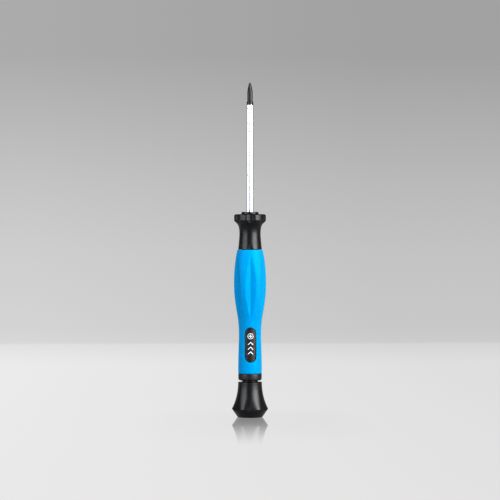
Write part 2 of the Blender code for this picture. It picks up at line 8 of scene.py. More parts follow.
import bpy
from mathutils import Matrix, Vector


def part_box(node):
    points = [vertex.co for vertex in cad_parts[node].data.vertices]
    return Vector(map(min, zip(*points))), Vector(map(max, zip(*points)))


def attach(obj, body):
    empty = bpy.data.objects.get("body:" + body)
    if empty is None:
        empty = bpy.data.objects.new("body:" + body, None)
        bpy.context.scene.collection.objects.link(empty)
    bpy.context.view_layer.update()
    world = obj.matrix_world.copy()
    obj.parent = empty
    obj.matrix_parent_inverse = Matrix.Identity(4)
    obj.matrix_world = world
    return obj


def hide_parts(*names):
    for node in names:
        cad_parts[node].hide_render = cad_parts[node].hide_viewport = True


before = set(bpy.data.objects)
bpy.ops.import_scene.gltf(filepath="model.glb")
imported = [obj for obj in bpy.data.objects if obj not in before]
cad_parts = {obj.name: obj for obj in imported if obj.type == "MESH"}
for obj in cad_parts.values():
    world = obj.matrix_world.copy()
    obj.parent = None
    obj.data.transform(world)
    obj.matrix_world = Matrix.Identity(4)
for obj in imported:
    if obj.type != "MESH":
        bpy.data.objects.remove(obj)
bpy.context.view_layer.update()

# %% [markdown]
# ## Millimetres and rings
# Blender counts in metres, but a small tool is easier to read in millimetres, so every length here is in
# millimetres and `MM` turns it into metres as a point is made. Each piece was moulded or turned about one axis.
# A Screw modifier can make such a piece, but it can't carry flutes or scallops, so this lesson builds rings of
# points and skins them. An azimuth of 0 faces -Y, the side with the name plate.

# %% Points and rings
import math

import bmesh
import bpy
from mathutils import Vector

MM = 0.001
TURN = 2 * math.pi
SEGMENTS = 96


def polar(azimuth, radius, z):
    return (radius * math.sin(azimuth), -radius * math.cos(azimuth), z)


def even(count):
    return [TURN * step / count for step in range(count)]


def between(start, end, count):
    return [start + (end - start) * step / count for step in range(count + 1)]


def flat_ring(radius, z, azimuths):
    if radius == 0:
        return [(0.0, 0.0, z)]
    return [polar(azimuth, radius, z) for azimuth in azimuths]


def flat_rings(outline, azimuths):
    return [flat_ring(radius, z, azimuths) for radius, z in outline]


print("azimuth 0 at a radius of 10 mm is", polar(0, 10, 0))

# %% [markdown]
# ## Skins
# Two neighbouring rings with equally many points take one four-sided face for each pair of points. A ring that is
# a single point on the axis takes triangles, because a corner that comes twice is dropped.

# %% Skins
def vertices(mesh, rings):
    return [[mesh.verts.new(Vector(point) * MM) for point in ring] for ring in rings]


def bridge(mesh, lower, upper, left_out=0):
    """Faces between two rings, but for the ones up to this many columns either side of azimuth 0."""
    count = max(len(lower), len(upper))
    for step in range(left_out, count - left_out):
        after = (step + 1) % count
        corners = (lower[step % len(lower)], lower[after % len(lower)],
                   upper[after % len(upper)], upper[step % len(upper)])
        mesh.faces.new(list(dict.fromkeys(corners)))


def bridge_all(mesh, loops):
    for lower, upper in zip(loops, loops[1:]):
        bridge(mesh, lower, upper)


def close_ends(mesh, loops):
    """Faces along a row of loops, and one face over each end."""
    bridge_all(mesh, loops)
    for end in (loops[0], loops[-1]):
        mesh.faces.new(end)


def skin(rings):
    """A closed surface: it starts and ends on the axis, or else its last ring joins its first."""
    mesh = bmesh.new()
    loops = vertices(mesh, rings)
    bridge_all(mesh, loops if len(rings[0]) == 1 else loops + loops[:1])
    return mesh


trial = skin(flat_rings(((0, 0), (5, 0), (5, 10), (0, 10)), even(SEGMENTS)))
print("a closed cylinder of", SEGMENTS, "columns has", len(trial.faces), "faces")
trial.free()

# %% [markdown]
# ## From mesh to piece
# A piece is an object that rides on a CAD body and stands for the CAD node that it refines. One helper does this
# for every piece, so that none is forgotten, and it prints the number of faces and the heights of what it made.

# %% Make a piece
SMOOTH_ANGLE = math.radians(35)


def show(name, data):
    made = bpy.data.objects.new(name, data)
    bpy.context.scene.collection.objects.link(made)
    return made


def piece(name, mesh, body, node):
    bmesh.ops.recalc_face_normals(mesh, faces=mesh.faces)
    data = bpy.data.meshes.new(name)
    mesh.to_mesh(data)
    mesh.free()
    data.shade_smooth()
    data.set_sharp_from_angle(angle=SMOOTH_ANGLE)
    made = show(name, data)
    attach(made, body)
    if node:
        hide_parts(node)
    heights = [vertex.co.z / MM for vertex in data.vertices]
    print(f"{name}: {len(data.polygons)} faces, {min(heights):.2f} to {max(heights):.2f} mm")
    return made

# %% [markdown]
# ## Measures from the CAD model
# A piece takes its heights and its widest radius from the CAD node that it refines, so the two can't disagree.

# %% Measure a node
def span(node):
    """The lowest and highest z of a CAD node, in millimetres."""
    return [corner.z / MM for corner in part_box(node)]


def widest(node):
    """The largest radius of a round CAD node, in millimetres."""
    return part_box(node)[1].x / MM


for node in ("blade", "grip_sleeve", "cap_shell"):
    print(node, "from", [round(z, 2) for z in span(node)], "mm")

# %% [markdown]
# ## Turned outlines with true corners
# No moulded or turned corner is truly sharp: even a crisp one has a radius of a few hundredths of a millimetre,
# and that radius is what catches the light. An outline is a list of (radius, z) corners here, and a third value is
# the corner's own radius. A Bevel modifier could round the finished mesh, but it rounds every edge alike.

# %% Round the corners of an outline
def rounded(corners, steps=4):
    points = []
    for before, corner, after in zip(corners[-1:] + corners[:-1], corners, corners[1:] + corners[:1]):
        here = Vector(corner[:2])
        if len(corner) == 2:
            points.append(tuple(here))
            continue
        back = (Vector(before[:2]) - here).normalized()
        onward = (Vector(after[:2]) - here).normalized()
        half = back.angle(onward) / 2
        centre = here + (back + onward).normalized() * corner[2] / math.sin(half)
        start, end = (here + side * corner[2] / math.tan(half) - centre for side in (back, onward))
        for step in range(steps + 1):
            spoke = start.lerp(end, step / steps).normalized() * corner[2]
            points.append(tuple(centre + spoke))
    return points


def turned(corners, segments=SEGMENTS):
    return skin(flat_rings(rounded(corners), even(segments)))


print("one rounded corner takes", len(rounded([(1, 0), (2, 0, 0.1), (2, 1)])) - 2, "points")

# %% [markdown]
# ## Curves through a few points
# The neck and the grip are free curves that a designer draws with a few points. A cubic through those points keeps
# the slope continuous, as a spline in a drawing does.

# %% A smooth curve through points
def smooth(outline, z):
    heights = [point[0] for point in outline]
    index = max(i for i in range(len(outline) - 1) if i == 0 or heights[i] <= z)
    (z0, r0), (z1, r1) = outline[index], outline[index + 1]

    def slope(i):
        before, after = outline[max(i - 1, 0)], outline[min(i + 1, len(outline) - 1)]
        return (after[1] - before[1]) / (after[0] - before[0])

    length = z1 - z0
    t = (z - z0) / length
    rise = (3 - 2 * t) * t * t
    leave, arrive = t * (1 - t) ** 2, t * t * (t - 1)
    return r0 + (r1 - r0) * rise + length * (slope(index) * leave + slope(index + 1) * arrive)


print("halfway from a radius of 5 mm to one of 6 mm:", smooth(((0, 5), (10, 6)), 5), "mm")

# %% [markdown]
# ## Flutes and scallops
# The collar's flutes and the grip's scallops are the same shape: six V-shaped grooves with a soft valley and edges
# that are only slightly softened, as a mould cutter leaves them. Booleans could cut them, but leave ragged
# shading. Here the radius itself dips, and the mesh's columns follow the groove's edges, so that an edge stays
# crisp however wide the groove is at that height.

# %% Grooves
SECTOR = TURN / 6
GROOVE_SHARES = (0, 0.12, 0.25, 0.4, 0.55, 0.7, 0.82, 0.91, 0.97, 1.03, 1.1)
LAND_STEPS = 8
RELAXED = math.radians(16.5)
NARROWEST = math.radians(1)


def groove_columns(half_width):
    rising = [half_width * share for share in GROOVE_SHARES]
    rising += between(rising[-1], SECTOR / 2, LAND_STEPS)[1:]
    falling = [SECTOR - step for step in rising[-2:0:-1]]
    return [number * SECTOR + step for number in range(6) for step in rising + falling]


def groove_dip(azimuth, half_width, valley, edge):
    """From 1 in the valley to 0 on the land, with both of them softened."""
    offset = abs((azimuth + SECTOR / 2) % SECTOR - SECTOR / 2) / half_width
    inside = 1 - (math.hypot(offset, valley) - valley) / (math.hypot(1, valley) - valley)
    return max(0, (inside + math.hypot(inside, edge) - edge / 2) / 2)


def grooved_ring(radius, z, depth, half_width, valley=0.3, edge=0.12):
    columns = groove_columns(half_width)
    if depth <= 0:
        return flat_ring(radius, z, columns)
    return [polar(azimuth, radius - depth * groove_dip(azimuth, half_width, valley, edge), z)
            for azimuth in columns]


def half_width_for(depth, deepest, full_width):
    """A groove with sloping walls narrows as it gets shallower."""
    return max(NARROWEST, full_width * min(1, max(0, depth) / deepest) ** 0.8)


print("a grooved ring has", len(groove_columns(RELAXED)), "columns")

# %% [markdown]
# ## Blade
# The blade is 3 mm wire, ground down to a 2.4 mm cross-point tip that narrows like a pointed arch, then polished
# and chromed. The end is left out of the chrome and blackened, so that the tip keeps its exact size.

# %% Outline of the tip
SHANK, TIP, APEX = 1.5, 1.2, 0.35
blade_low, blade_high = span("blade")
BLACK_FROM_Z, SHOULDER_Z, FLUTES_FROM_Z = blade_high - 10.4, blade_high - 8.8, blade_high - 6.9
OGIVE_START, OGIVE_END, OGIVE_POWER = blade_high - 5, blade_high - 0.15, 1 / 0.55


def tip_radius(z):
    along = min(1, max(0, (z - OGIVE_START) / (OGIVE_END - OGIVE_START)))
    return APEX + (TIP - APEX) * (1 - along ** OGIVE_POWER)


print("radius 2 mm below the point:", round(tip_radius(blade_high - 2), 2), "mm")

# %% [markdown]
# Four flutes leave the four wings of the cross. The corner of a square wheel cuts each one at a slant, so its root
# is a straight line and its two walls are planes: `root / (cos a - sin a)` is such a plane in polar form. A Boolean
# with four prisms could cut them, but here the mesh's own columns follow the flute's edges and stay clean.

# %% Flutes of the tip
ROOT_AT_APEX, ROOT_SLOPE = 0.385, 1.02 / 7.2
NARROWEST_FLUTE = math.radians(1.5)


def flute_half_width(radius, root):
    reach = math.acos(min(1, root / radius / math.sqrt(2))) - TURN / 8
    return max(NARROWEST_FLUTE, reach)


def tip_columns(half_width):
    rising = between(0, half_width, 8) + between(half_width, TURN / 8, 6)[1:]
    steps = rising + [TURN / 4 - step for step in rising[-2:0:-1]]
    return [TURN / 8 + number * TURN / 4 + step for number in range(4) for step in steps]


def tip_ring(z, radius):
    root = ROOT_AT_APEX + (blade_high - z) * ROOT_SLOPE
    ring = []
    for azimuth in tip_columns(flute_half_width(radius, root)):
        offset = abs(azimuth % (TURN / 4) - TURN / 8)
        slant = math.cos(offset) - math.sin(offset)
        ring.append(polar(azimuth, min(radius, root / slant if slant > 0.01 else radius), z))
    return ring


print("the tip has", len(tip_columns(NARROWEST_FLUTE)), "columns")

# %% [markdown]
# The hidden end of the blade is pressed oval, so that it can't turn in its handle.

# %% Oval end
OVAL_WIDE, OVAL_THIN, OVAL_LENGTH, OVAL_CHAMFER, OVAL_RUNOUT = 2.1, 1.0, 7, 0.3, 1.5


def oval_ring(wide, thin, z, azimuths):
    return [(wide * math.sin(azimuth), -thin * math.cos(azimuth), z) for azimuth in azimuths]


def tail_rings(growth, azimuths):
    """The oval end; the pocket that holds it is the same shape, grown by a clearance."""
    wide, thin = OVAL_WIDE + growth, OVAL_THIN + growth
    low, high = blade_low - growth, blade_low + OVAL_LENGTH + growth
    return [[(0, 0, low)], oval_ring(wide - OVAL_CHAMFER, thin - OVAL_CHAMFER, low, azimuths),
            oval_ring(wide, thin, low + OVAL_CHAMFER, azimuths), oval_ring(wide, thin, high - OVAL_RUNOUT, azimuths),
            oval_ring(SHANK + growth, SHANK + growth, high, azimuths)]


print("the oval end has", len(tail_rings(0, even(SEGMENTS))), "rings")

# %% [markdown]
# The plated and the blackened length are two pieces, which meet in a hairline, because a plating stop is a true
# edge.

# %% Blade
def make_tip():
    columns = tip_columns(NARROWEST_FLUTE)
    shoulder = flat_rings((
        (0, BLACK_FROM_Z), (SHANK - 0.02, BLACK_FROM_Z), (SHANK, BLACK_FROM_Z + 0.02), (SHANK, SHOULDER_Z - 0.25),
        (SHANK - 0.05, SHOULDER_Z - 0.12), (SHANK - 0.2, SHOULDER_Z), (TIP + 0.03, SHOULDER_Z),
        (TIP, SHOULDER_Z + 0.03)), columns)
    flutes = [tip_ring(z, tip_radius(z)) for z in between(FLUTES_FROM_Z, OGIVE_END, 44)]
    apex = [tip_ring(blade_high - 0.06, APEX * 0.9), tip_ring(blade_high - 0.01, APEX * 0.55),
            [(0, 0, blade_high)]]
    return piece("blade_tip", skin(shoulder + flutes + apex), "handle", "blade")


def make_shank():
    azimuths = even(SEGMENTS)
    plated = flat_rings(((SHANK, BLACK_FROM_Z - 0.03), (SHANK - 0.02, BLACK_FROM_Z - 0.01),
                         (0, BLACK_FROM_Z - 0.01)), azimuths)
    return piece("blade_shank", skin(tail_rings(0, azimuths) + plated), "handle", "blade")


blade_tip = make_tip()
blade_shank = make_shank()

# %% [markdown]
# ## Handle core
# The core is one hard moulding. Its front end is the collar that two fingers twirl, with six flutes that run out
# into the neck. Its back end is a spigot. Between them a slim spine with six keyways hides in the soft sleeve, so
# that the sleeve can't slip round it. The core is a skin of rings from the blind end of the screw's pocket, out
# over the spigot, up the outside and down the blade's pocket.

# %% Collar rings
NECK = ((77.6, 5.48), (81.0, 5.14), (85.3, 4.88), (88.0, 5.19), (89.3, 5.8), (90.8, 7.23))
COLLAR_FACE = span("handle_core")[1]
COLLAR, COLLAR_HALF_WIDTH, COLLAR_DEEP = 7.35, math.radians(16.5), 0.75
VALLEY_LOW, VALLEY_HIGH = (89.7, 6.15), (COLLAR_FACE, 6.6)
COLLAR_RELAX = 20


def collar_ring(radius, z):
    """Below the flutes the mesh's columns spread out evenly again, and COLLAR_RELAX says how fast."""
    (low, start), (high, end) = VALLEY_LOW, VALLEY_HIGH
    depth = radius - start - (end - start) * (z - low) / (high - low)
    if depth <= 0:
        return grooved_ring(radius, z, 0, min(RELAXED, NARROWEST * (1 - COLLAR_RELAX * depth)))
    return grooved_ring(radius, z, depth, half_width_for(depth, COLLAR_DEEP, COLLAR_HALF_WIDTH))


print("the collar's face is at", round(COLLAR_FACE, 2), "mm")

# %% [markdown]
# The spine's keyways are the same grooves, made shallow. They fade out over 3 mm at both ends, so that the mould
# can fill them. The sleeve's inside uses the same rings, a little larger.

# %% Spine rings
SPINE, KEY_DEPTH, KEY_HALF_WIDTH = 3.9, 0.3, math.radians(15)
KEY_LOW, KEY_HIGH, KEY_FADE = 46.0, 76.0, 3
KEY_ROWS = (46, 47, 48, 49, 73, 74, 75, 76)
SLEEVE_GAP = 0.12
GAP = 0.05


def spine_ring(growth, z):
    depth = KEY_DEPTH * min(1, max(0, min(z - KEY_LOW, KEY_HIGH - z) / KEY_FADE))
    return grooved_ring(SPINE + growth, z, depth, KEY_HALF_WIDTH)


print("the spine is", SPINE - KEY_DEPTH, "to", SPINE, "mm in radius")

# %% [markdown]
# The outline of the core runs from the screw's pocket to the blade's. Corners that show have their own small
# chamfers, and the back of the neck starts with a rounded step against the sleeve.

# %% Handle core
POCKET, POCKET_END_Z, SPIGOT, SPIGOT_LOW_Z, SPIGOT_HIGH_Z = 1.95, 26, 3.45, 17.15, 20.25
FRONT_BORE, FRONT_BORE_Z = 2.35, 87.9
NECK_Z, NECK_STEEP_Z, NECK_HIGH_Z = 77.6, 89.2, 90.8


def make_core():
    columns = groove_columns(RELAXED)
    pocket = flat_rings(((0, POCKET_END_Z), (POCKET, POCKET_END_Z), (POCKET, SPIGOT_LOW_Z + 0.1),
                         (POCKET + 0.1, SPIGOT_LOW_Z)), columns)
    spigot = flat_rings(((SPIGOT - 0.1, SPIGOT_LOW_Z), (SPIGOT, SPIGOT_LOW_Z + 0.1), (SPIGOT, SPIGOT_HIGH_Z),
                         (SPINE, SPIGOT_HIGH_Z)), columns)
    spine = [spine_ring(0, z) for z in KEY_ROWS] + [flat_ring(SPINE, NECK_Z, columns)]
    step = flat_rings(((5.38, NECK_Z), (5.45, NECK_Z + 0.03), (5.475, NECK_Z + 0.1)), columns)
    heights = between(NECK_Z, NECK_STEEP_Z, 40)[1:] + between(NECK_STEEP_Z, NECK_HIGH_Z, 24)[1:]
    neck = [collar_ring(smooth(NECK, z), z) for z in heights]
    edge = [(COLLAR - 0.05, 90.88), (COLLAR - 0.015, 90.97), (COLLAR, 91.1),
            *((COLLAR, z) for z in between(91.5, 93.3, 4)), (COLLAR, 93.4), (COLLAR - 0.04, 93.5),
            (COLLAR - 0.22, 93.68), (COLLAR - 0.4, 93.86), (COLLAR - 0.48, COLLAR_FACE)]
    collar = [collar_ring(radius, z) for radius, z in edge]
    bore = flat_rings(((FRONT_BORE, COLLAR_FACE), (FRONT_BORE, FRONT_BORE_Z), (SHANK + GAP, FRONT_BORE_Z)), columns)
    rings = pocket + spigot + spine + step + neck + collar + bore + tail_rings(GAP, columns)[::-1]
    return piece("core", skin(rings), "handle", "handle_core")


core = make_core()

# %% [markdown]
# ## Nose bush
# A separate bush fills the front bore and centres the blade. Only its small disc shows, proud of the collar's face.

# %% Nose bush
nose_low, nose_high = span("nose_bush")
NOSE, NOSE_SHANK, NOSE_DISC_Z = widest("nose_bush"), 2.3, nose_high - 1.05
BORE = SHANK + GAP
FINE_SEGMENTS = 144
nose_bush = piece("nose", turned([
    (BORE, nose_low), (NOSE_SHANK, nose_low, 0.15), (NOSE_SHANK, NOSE_DISC_Z), (NOSE, NOSE_DISC_Z, 0.06),
    (NOSE, nose_high, 0.26), (BORE, nose_high, 0.1)], FINE_SEGMENTS), "handle", "nose_bush")

# %% [markdown]
# ## Soft sleeve
# The sleeve is a thermoplastic elastomer, moulded over the spine. Six scallops run along its thick part, each with
# a straight valley between two pointed ends, and a window with round ends opens to the name plate. A window is hard
# for a skin of rings, so the faces in front of it are left out. Rings then shrink from that opening's
# rectangular border to the window's outline, over a small rounded lip, through the wall and out again inside.

# %% Sleeve rings
GRIP = ((20.15, 5.42), (24.0, 5.44), (31.0, 5.29), (38.3, 5.10), (44.4, 5.43), (50.0, 6.32),
        (56.0, 7.13), (62.3, 7.39), (68.7, 7.14), (74.0, 6.52), (77.5, 5.86))
GRIP_END, END_STEPS = 0.3, 5
SCALLOP_LOW, SCALLOP_HIGH, SCALLOP_WIDEST_Z = 44.7, 74.8, 62.3
SCALLOP_HALF_WIDTH, SCALLOP_RELAX = math.radians(20), 9


def valley_radius(z):
    share = (z - SCALLOP_LOW) / (SCALLOP_HIGH - SCALLOP_LOW)
    return smooth(GRIP, SCALLOP_LOW) * (1 - share) + smooth(GRIP, SCALLOP_HIGH) * share


DEEPEST = smooth(GRIP, SCALLOP_WIDEST_Z) - valley_radius(SCALLOP_WIDEST_Z)


def scallop_ring(z):
    radius = smooth(GRIP, z)
    beyond = max(SCALLOP_LOW - z, z - SCALLOP_HIGH)
    if beyond >= 0:
        return grooved_ring(radius, z, 0, min(RELAXED, NARROWEST * (1 + SCALLOP_RELAX * beyond)))
    depth = radius - valley_radius(z)
    return grooved_ring(radius, z, depth, half_width_for(depth, DEEPEST, SCALLOP_HALF_WIDTH))


def end_rings(z, up):
    """A rounded end, from its flat face out to the side; up is 1 at the bottom end and -1 at the top."""
    turns = [TURN / 4 * step / END_STEPS for step in range(END_STEPS)]
    radius = smooth(GRIP, z) - GRIP_END
    return [flat_ring(radius + GRIP_END * math.sin(turn), z + up * GRIP_END * (1 - math.cos(turn)),
                      groove_columns(RELAXED)) for turn in turns]


print("the scallops are", round(DEEPEST, 2), "mm deep at their widest")

# %% [markdown]
# The window's outline is an upright pill. Each point of the border belongs to the nearest point of that pill, so
# the rings in between never cross.

# %% Window outline
PILL_HALF_WIDTH, PILL_HALF_HEIGHT, PILL_Z = 2.6, 8.0, 33.5
PILL_REACH = PILL_HALF_HEIGHT - PILL_HALF_WIDTH


def nearest_on_pill(x, z):
    """The middle and the direction that lead to the nearest point of the pill's outline."""
    middle = Vector((0, min(PILL_Z + PILL_REACH, max(PILL_Z - PILL_REACH, z))))
    return middle, (Vector((x, z)) - middle).normalized()


def on_tube(flat, radius, depth=0.0):
    """Bends a flat (x, z) point round a tube's front."""
    return (flat.x, depth - math.sqrt(radius ** 2 - flat.x ** 2), flat.y)


print("the window is", 2 * PILL_HALF_WIDTH, "by", 2 * PILL_HALF_HEIGHT, "mm")

# %% [markdown]
# The border is a rectangle of the sleeve's own vertices. Three rings ease it into the pill's outline, and the rings
# after them follow the pill, each with its own growth and its own depth under the surface.

# %% From a border to the pill
WINDOW_COLUMN = 29
EASING = (0.7, 0.4, 0.15)


def border(loops, first, last):
    """The vertices round the opening that is left in the rings from first to last."""
    side = WINDOW_COLUMN
    return ([loops[first][k] for k in range(-side, side)] + [loops[i][side] for i in range(first, last)]
            + [loops[last][k] for k in range(side, -side, -1)] + [loops[i][-side] for i in range(last, first, -1)])


def shrink_to_pill(mesh, edge, surface, growths):
    """Rings from an opening's border to the pill's outline, grown by each of the (growth, depth) pairs."""
    places = [(Vector((v.co.x, v.co.z)) / MM, *nearest_on_pill(v.co.x / MM, v.co.z / MM)) for v in edge]
    first = growths[0][0]
    rings = []
    for share in EASING:
        flats = [(m + d * (PILL_HALF_WIDTH + first)).lerp(flat, share) for flat, m, d in places]
        rings.append([on_tube(flat, surface(flat.y)) for flat in flats])
    for growth, depth in growths:
        flats = [m + d * (PILL_HALF_WIDTH + growth) for flat, m, d in places]
        rings.append([on_tube(flat, surface(flat.y), depth) for flat in flats])
    loops = [edge] + vertices(mesh, rings)
    bridge_all(mesh, loops)
    return loops[-1]


print("the opening is", 2 * WINDOW_COLUMN, "of", len(groove_columns(RELAXED)), "columns wide")

# %% [markdown]
# The outside and the inside of the sleeve are two open tubes. They are joined at both ends and round the window.
# The rows are close together at the window and at the scallops' points, and wider apart in between.

# %% Sleeve
LIP = 0.16
ROWS_BELOW, WINDOW_ROWS, ROWS_ABOVE = [20.7, 21.5, 22.3, 23.2], between(24, 43, 36), [43.8, 44.3]
TOP_ROWS = [75.3, 76, 76.7]
SCALLOP_ROWS = [*between(SCALLOP_LOW, 46, 8), *between(46, 73.5, 56)[1:], *between(73.5, SCALLOP_HIGH, 8)[1:]]


def make_sleeve():
    low, high = span("grip_sleeve")
    heights = [*ROWS_BELOW, *WINDOW_ROWS, *ROWS_ABOVE, *SCALLOP_ROWS, *TOP_ROWS]
    outer = end_rings(low, 1) + [scallop_ring(z) for z in heights] + end_rings(high, -1)[::-1]
    inner = flat_rings([(SPINE + SLEEVE_GAP, z) for z in [low, *WINDOW_ROWS, 45]], groove_columns(RELAXED))
    inner += [spine_ring(SLEEVE_GAP, z) for z in KEY_ROWS]
    inner += [flat_ring(SPINE + SLEEVE_GAP, high, groove_columns(RELAXED))]
    mesh = bmesh.new()
    outside, inside = vertices(mesh, outer), vertices(mesh, inner)
    first = END_STEPS + len(ROWS_BELOW)
    openings = (outside, first, first + len(WINDOW_ROWS) - 1), (inside, 1, len(WINDOW_ROWS))
    for loops, first, last in openings:
        for row, (lower, upper) in enumerate(zip(loops, loops[1:])):
            bridge(mesh, lower, upper, WINDOW_COLUMN if first <= row < last else 0)
    for end in (0, -1):
        bridge(mesh, outside[end], inside[end])
    corner = [(LIP * (1 - math.sin(turn)) + GAP, LIP * (1 - math.cos(turn))) for turn in between(0, TURN / 4, 5)]
    rim = shrink_to_pill(mesh, border(*openings[0]), lambda z: smooth(GRIP, z), corner)
    seat = shrink_to_pill(mesh, border(*openings[1]), lambda z: SPINE + SLEEVE_GAP, [(GAP, 0)])
    bridge(mesh, rim, seat)
    return piece("sleeve", mesh, "handle", "grip_sleeve")


sleeve = make_sleeve()

# %% [markdown]
# ## Name plate
# The plate is a separate dark moulding that sits a little below the sleeve's surface. Its face follows a cylinder.
# Rings of the same pill shape shrink from its edge to its middle line.

# %% Outline of the plate
PILL_TURNS = 36


def pill_places():
    """Middles and directions all the way round the pill's outline."""
    places = []
    for side, start in ((1, 0), (-1, TURN / 2)):
        for turn in between(start, start + TURN / 2, PILL_TURNS):
            places.append((Vector((0, PILL_Z + side * PILL_REACH)), Vector((math.cos(turn), math.sin(turn)))))
        for z in between(side * PILL_REACH, -side * PILL_REACH, PILL_TURNS)[1:-1]:
            places.append((Vector((0, PILL_Z + z)), Vector((-side, 0))))
    return places


def pill_ring(inset, radius, depth=0.0):
    return [on_tube(middle + direction * (PILL_HALF_WIDTH - inset), radius, depth)
            for middle, direction in pill_places()]


print("the plate's outline has", len(pill_places()), "points")

# %% [markdown]
# The plate's back rests on the spine. Its front edge is rounded over about a tenth of a millimetre.

# %% Name plate
PLATE, PLATE_EDGE = 4.92, 0.12


def make_plate():
    edge = [(PLATE_EDGE * (1 - math.sin(turn)), PLATE_EDGE * (1 - math.cos(turn)))
            for turn in between(0, TURN / 4, 4)]
    rings = [pill_ring(inset, SPINE + GAP) for inset in (2.4, 1.6, 0.8, 0.02)]
    rings += [pill_ring(inset, PLATE, depth) for inset, depth in edge[::-1]]
    rings += [pill_ring(inset, PLATE) for inset in (0.3, 0.6, 1, 1.4, 1.8, 2.1, 2.4)]
    mesh = bmesh.new()
    close_ends(mesh, vertices(mesh, rings))
    return piece("plate", mesh, "handle", "label_plate")


plate = make_plate()

# %% [markdown]
# ## Printed marks
# The plate carries printed marks, which this lesson keeps generic: a ring with a cross-shaped recess, for the kind
# of screw, over three chevrons that point to the tip. Pad printing leaves a film of ink, so each mark is a thin
# closed shape, bent round the plate. A Text object or an image could print them flat, but wouldn't follow the
# curve.

# %% Strokes of ink
INK = 0.03


def bar(start, end, half_width):
    """The corners of a straight stroke with flat ends."""
    start, end = Vector(start), Vector(end)
    along = (end - start).normalized() * half_width
    side = Vector((-along.y, along.x))
    return [start + side, start - side, end - side, end + side]


def stroke(mesh, outline, steps=6):
    """A closed film of ink over a four-cornered outline, cut up so that it can bend round the plate."""
    a, b, c, d = outline
    rings = []
    for share in between(0, 1, steps):
        left, right = a.lerp(d, share), b.lerp(c, share)
        line = [left.lerp(right, across) for across in between(0, 1, 2)]
        rings.append([on_tube(flat, PLATE + INK) for flat in line]
                     + [on_tube(flat, PLATE - INK) for flat in line[::-1]])
    close_ends(mesh, vertices(mesh, rings))


def ink_ring(mesh, centre, inner, outer, count=48):
    sections = []
    for turn in even(count):
        ray = Vector((math.cos(turn), math.sin(turn)))
        sections.append([on_tube(centre + ray * radius, PLATE + lift)
                         for radius, lift in ((inner, INK), (outer, INK), (outer, -INK), (inner, -INK))])
    loops = vertices(mesh, sections)
    bridge_all(mesh, loops + loops[:1])


print("the film stands", INK, "mm proud of the plate")

# %% [markdown]
# The marks are one piece, and sit on the middle line of the plate.

# %% Printed marks
RING_Z, RING_INNER, RING_OUTER, CROSS_REACH, CROSS_HALF_WIDTH = 37.6, 1.08, 1.4, 0.8, 0.24
CHEVRON_PEAKS, CHEVRON_REACH, CHEVRON_DROP, CHEVRON_HALF_WIDTH = (34.9, 32.7, 30.5), 1.2, 1.25, 0.22


def make_marks():
    mesh = bmesh.new()
    centre = Vector((0, RING_Z))
    ink_ring(mesh, centre, RING_INNER, RING_OUTER)
    for direction in (Vector((1, 0)), Vector((0, 1))):
        arm = direction * CROSS_REACH
        stroke(mesh, bar(centre - arm, centre + arm, CROSS_HALF_WIDTH))
    for peak in CHEVRON_PEAKS:
        for side in (-1, 1):
            foot, top = (side * CHEVRON_REACH, peak - CHEVRON_DROP), (side * -0.12, peak)
            stroke(mesh, bar(foot, top, CHEVRON_HALF_WIDTH))
    return piece("plate_marks", mesh, "handle", None)


marks = make_marks()

# %% [markdown]
# ## Tail ferrule
# A plain ring with a finer texture closes the sleeve's back end. Its lower edge has a wide chamfer, which leaves a
# dark groove above the cap.

# %% Ferrule
ferrule_low, ferrule_high = span("tail_ferrule")
FERRULE, FERRULE_HOLE, FERRULE_CHAMFER = widest("tail_ferrule"), 3.5, 0.45
ferrule = piece("ferrule", turned([
    (FERRULE_HOLE, ferrule_low), (FERRULE - FERRULE_CHAMFER, ferrule_low, 0.12),
    (FERRULE, ferrule_low + FERRULE_CHAMFER, 0.15), (FERRULE, ferrule_high, 0.06), (FERRULE_HOLE, ferrule_high)],
    FINE_SEGMENTS), "handle", "tail_ferrule")

# %% [markdown]
# ## Swivel cap
# The cap flares out like a bell, so that a fingertip or a palm can press on it while the handle turns. Six shallow
# waves run round its wide edge and fade out up the flare. Below the edge a cone leads in to the flat base. Each
# column of the mesh is its own rounded outline, because the edge is lower where a wave makes the flare thinner.

# %% Flare and waves
CAP_BASE, CAP_EDGE, CAP_EDGE_Z, CAP_TOP = 5.74, widest("cap_shell"), 3.86, 5.5
CAP_TOP_Z = span("cap_shell")[1]
FLARE_POWER = 2.15
LOBES, LOBE_DEPTH, LOBE_TOP_Z, LOBE_FADE = 6, 0.62, 9.5, 1.5


def lobe_depth(azimuth, z):
    fade = max(0, (LOBE_TOP_Z - z) / (LOBE_TOP_Z - CAP_EDGE_Z)) ** LOBE_FADE
    return LOBE_DEPTH * fade * (0.5 + 0.5 * math.cos(LOBES * azimuth))


def flare(azimuth, z):
    fall = (CAP_TOP_Z - z) / (CAP_TOP_Z - CAP_EDGE_Z)
    return (CAP_TOP + (CAP_EDGE - CAP_TOP) * fall ** FLARE_POWER - lobe_depth(azimuth, z), z)


print("the cap's edge is", round(CAP_EDGE - LOBE_DEPTH, 2), "to", round(CAP_EDGE, 2), "mm in radius")

# %% [markdown]
# Inside, the bore is stepped. From the top down there is a hole for the spacer, the bearing's seat, the snap
# ring's groove, a well for the screw's head, and the seat of the plug.

# %% Cap
FLARE_SHARES = [0.075, 0.1, 0.13, *between(0.16, 0.94, 26), 0.965]
EDGE_FILLET, TOP_FILLET, BASE_FILLET = 0.3, 0.22, 0.12
CAP_HOLE, BEARING_SEAT, RING_GROOVE, WELL, PLUG_SEAT = 2.9, 4.05, 4.5, 4.12, 4.65
SEAT_Z, GROOVE_HIGH_Z, GROOVE_LOW_Z, PLUG_Z = 15.66, 12.54, 12.02, 1.6
CAP_COLUMNS = 180


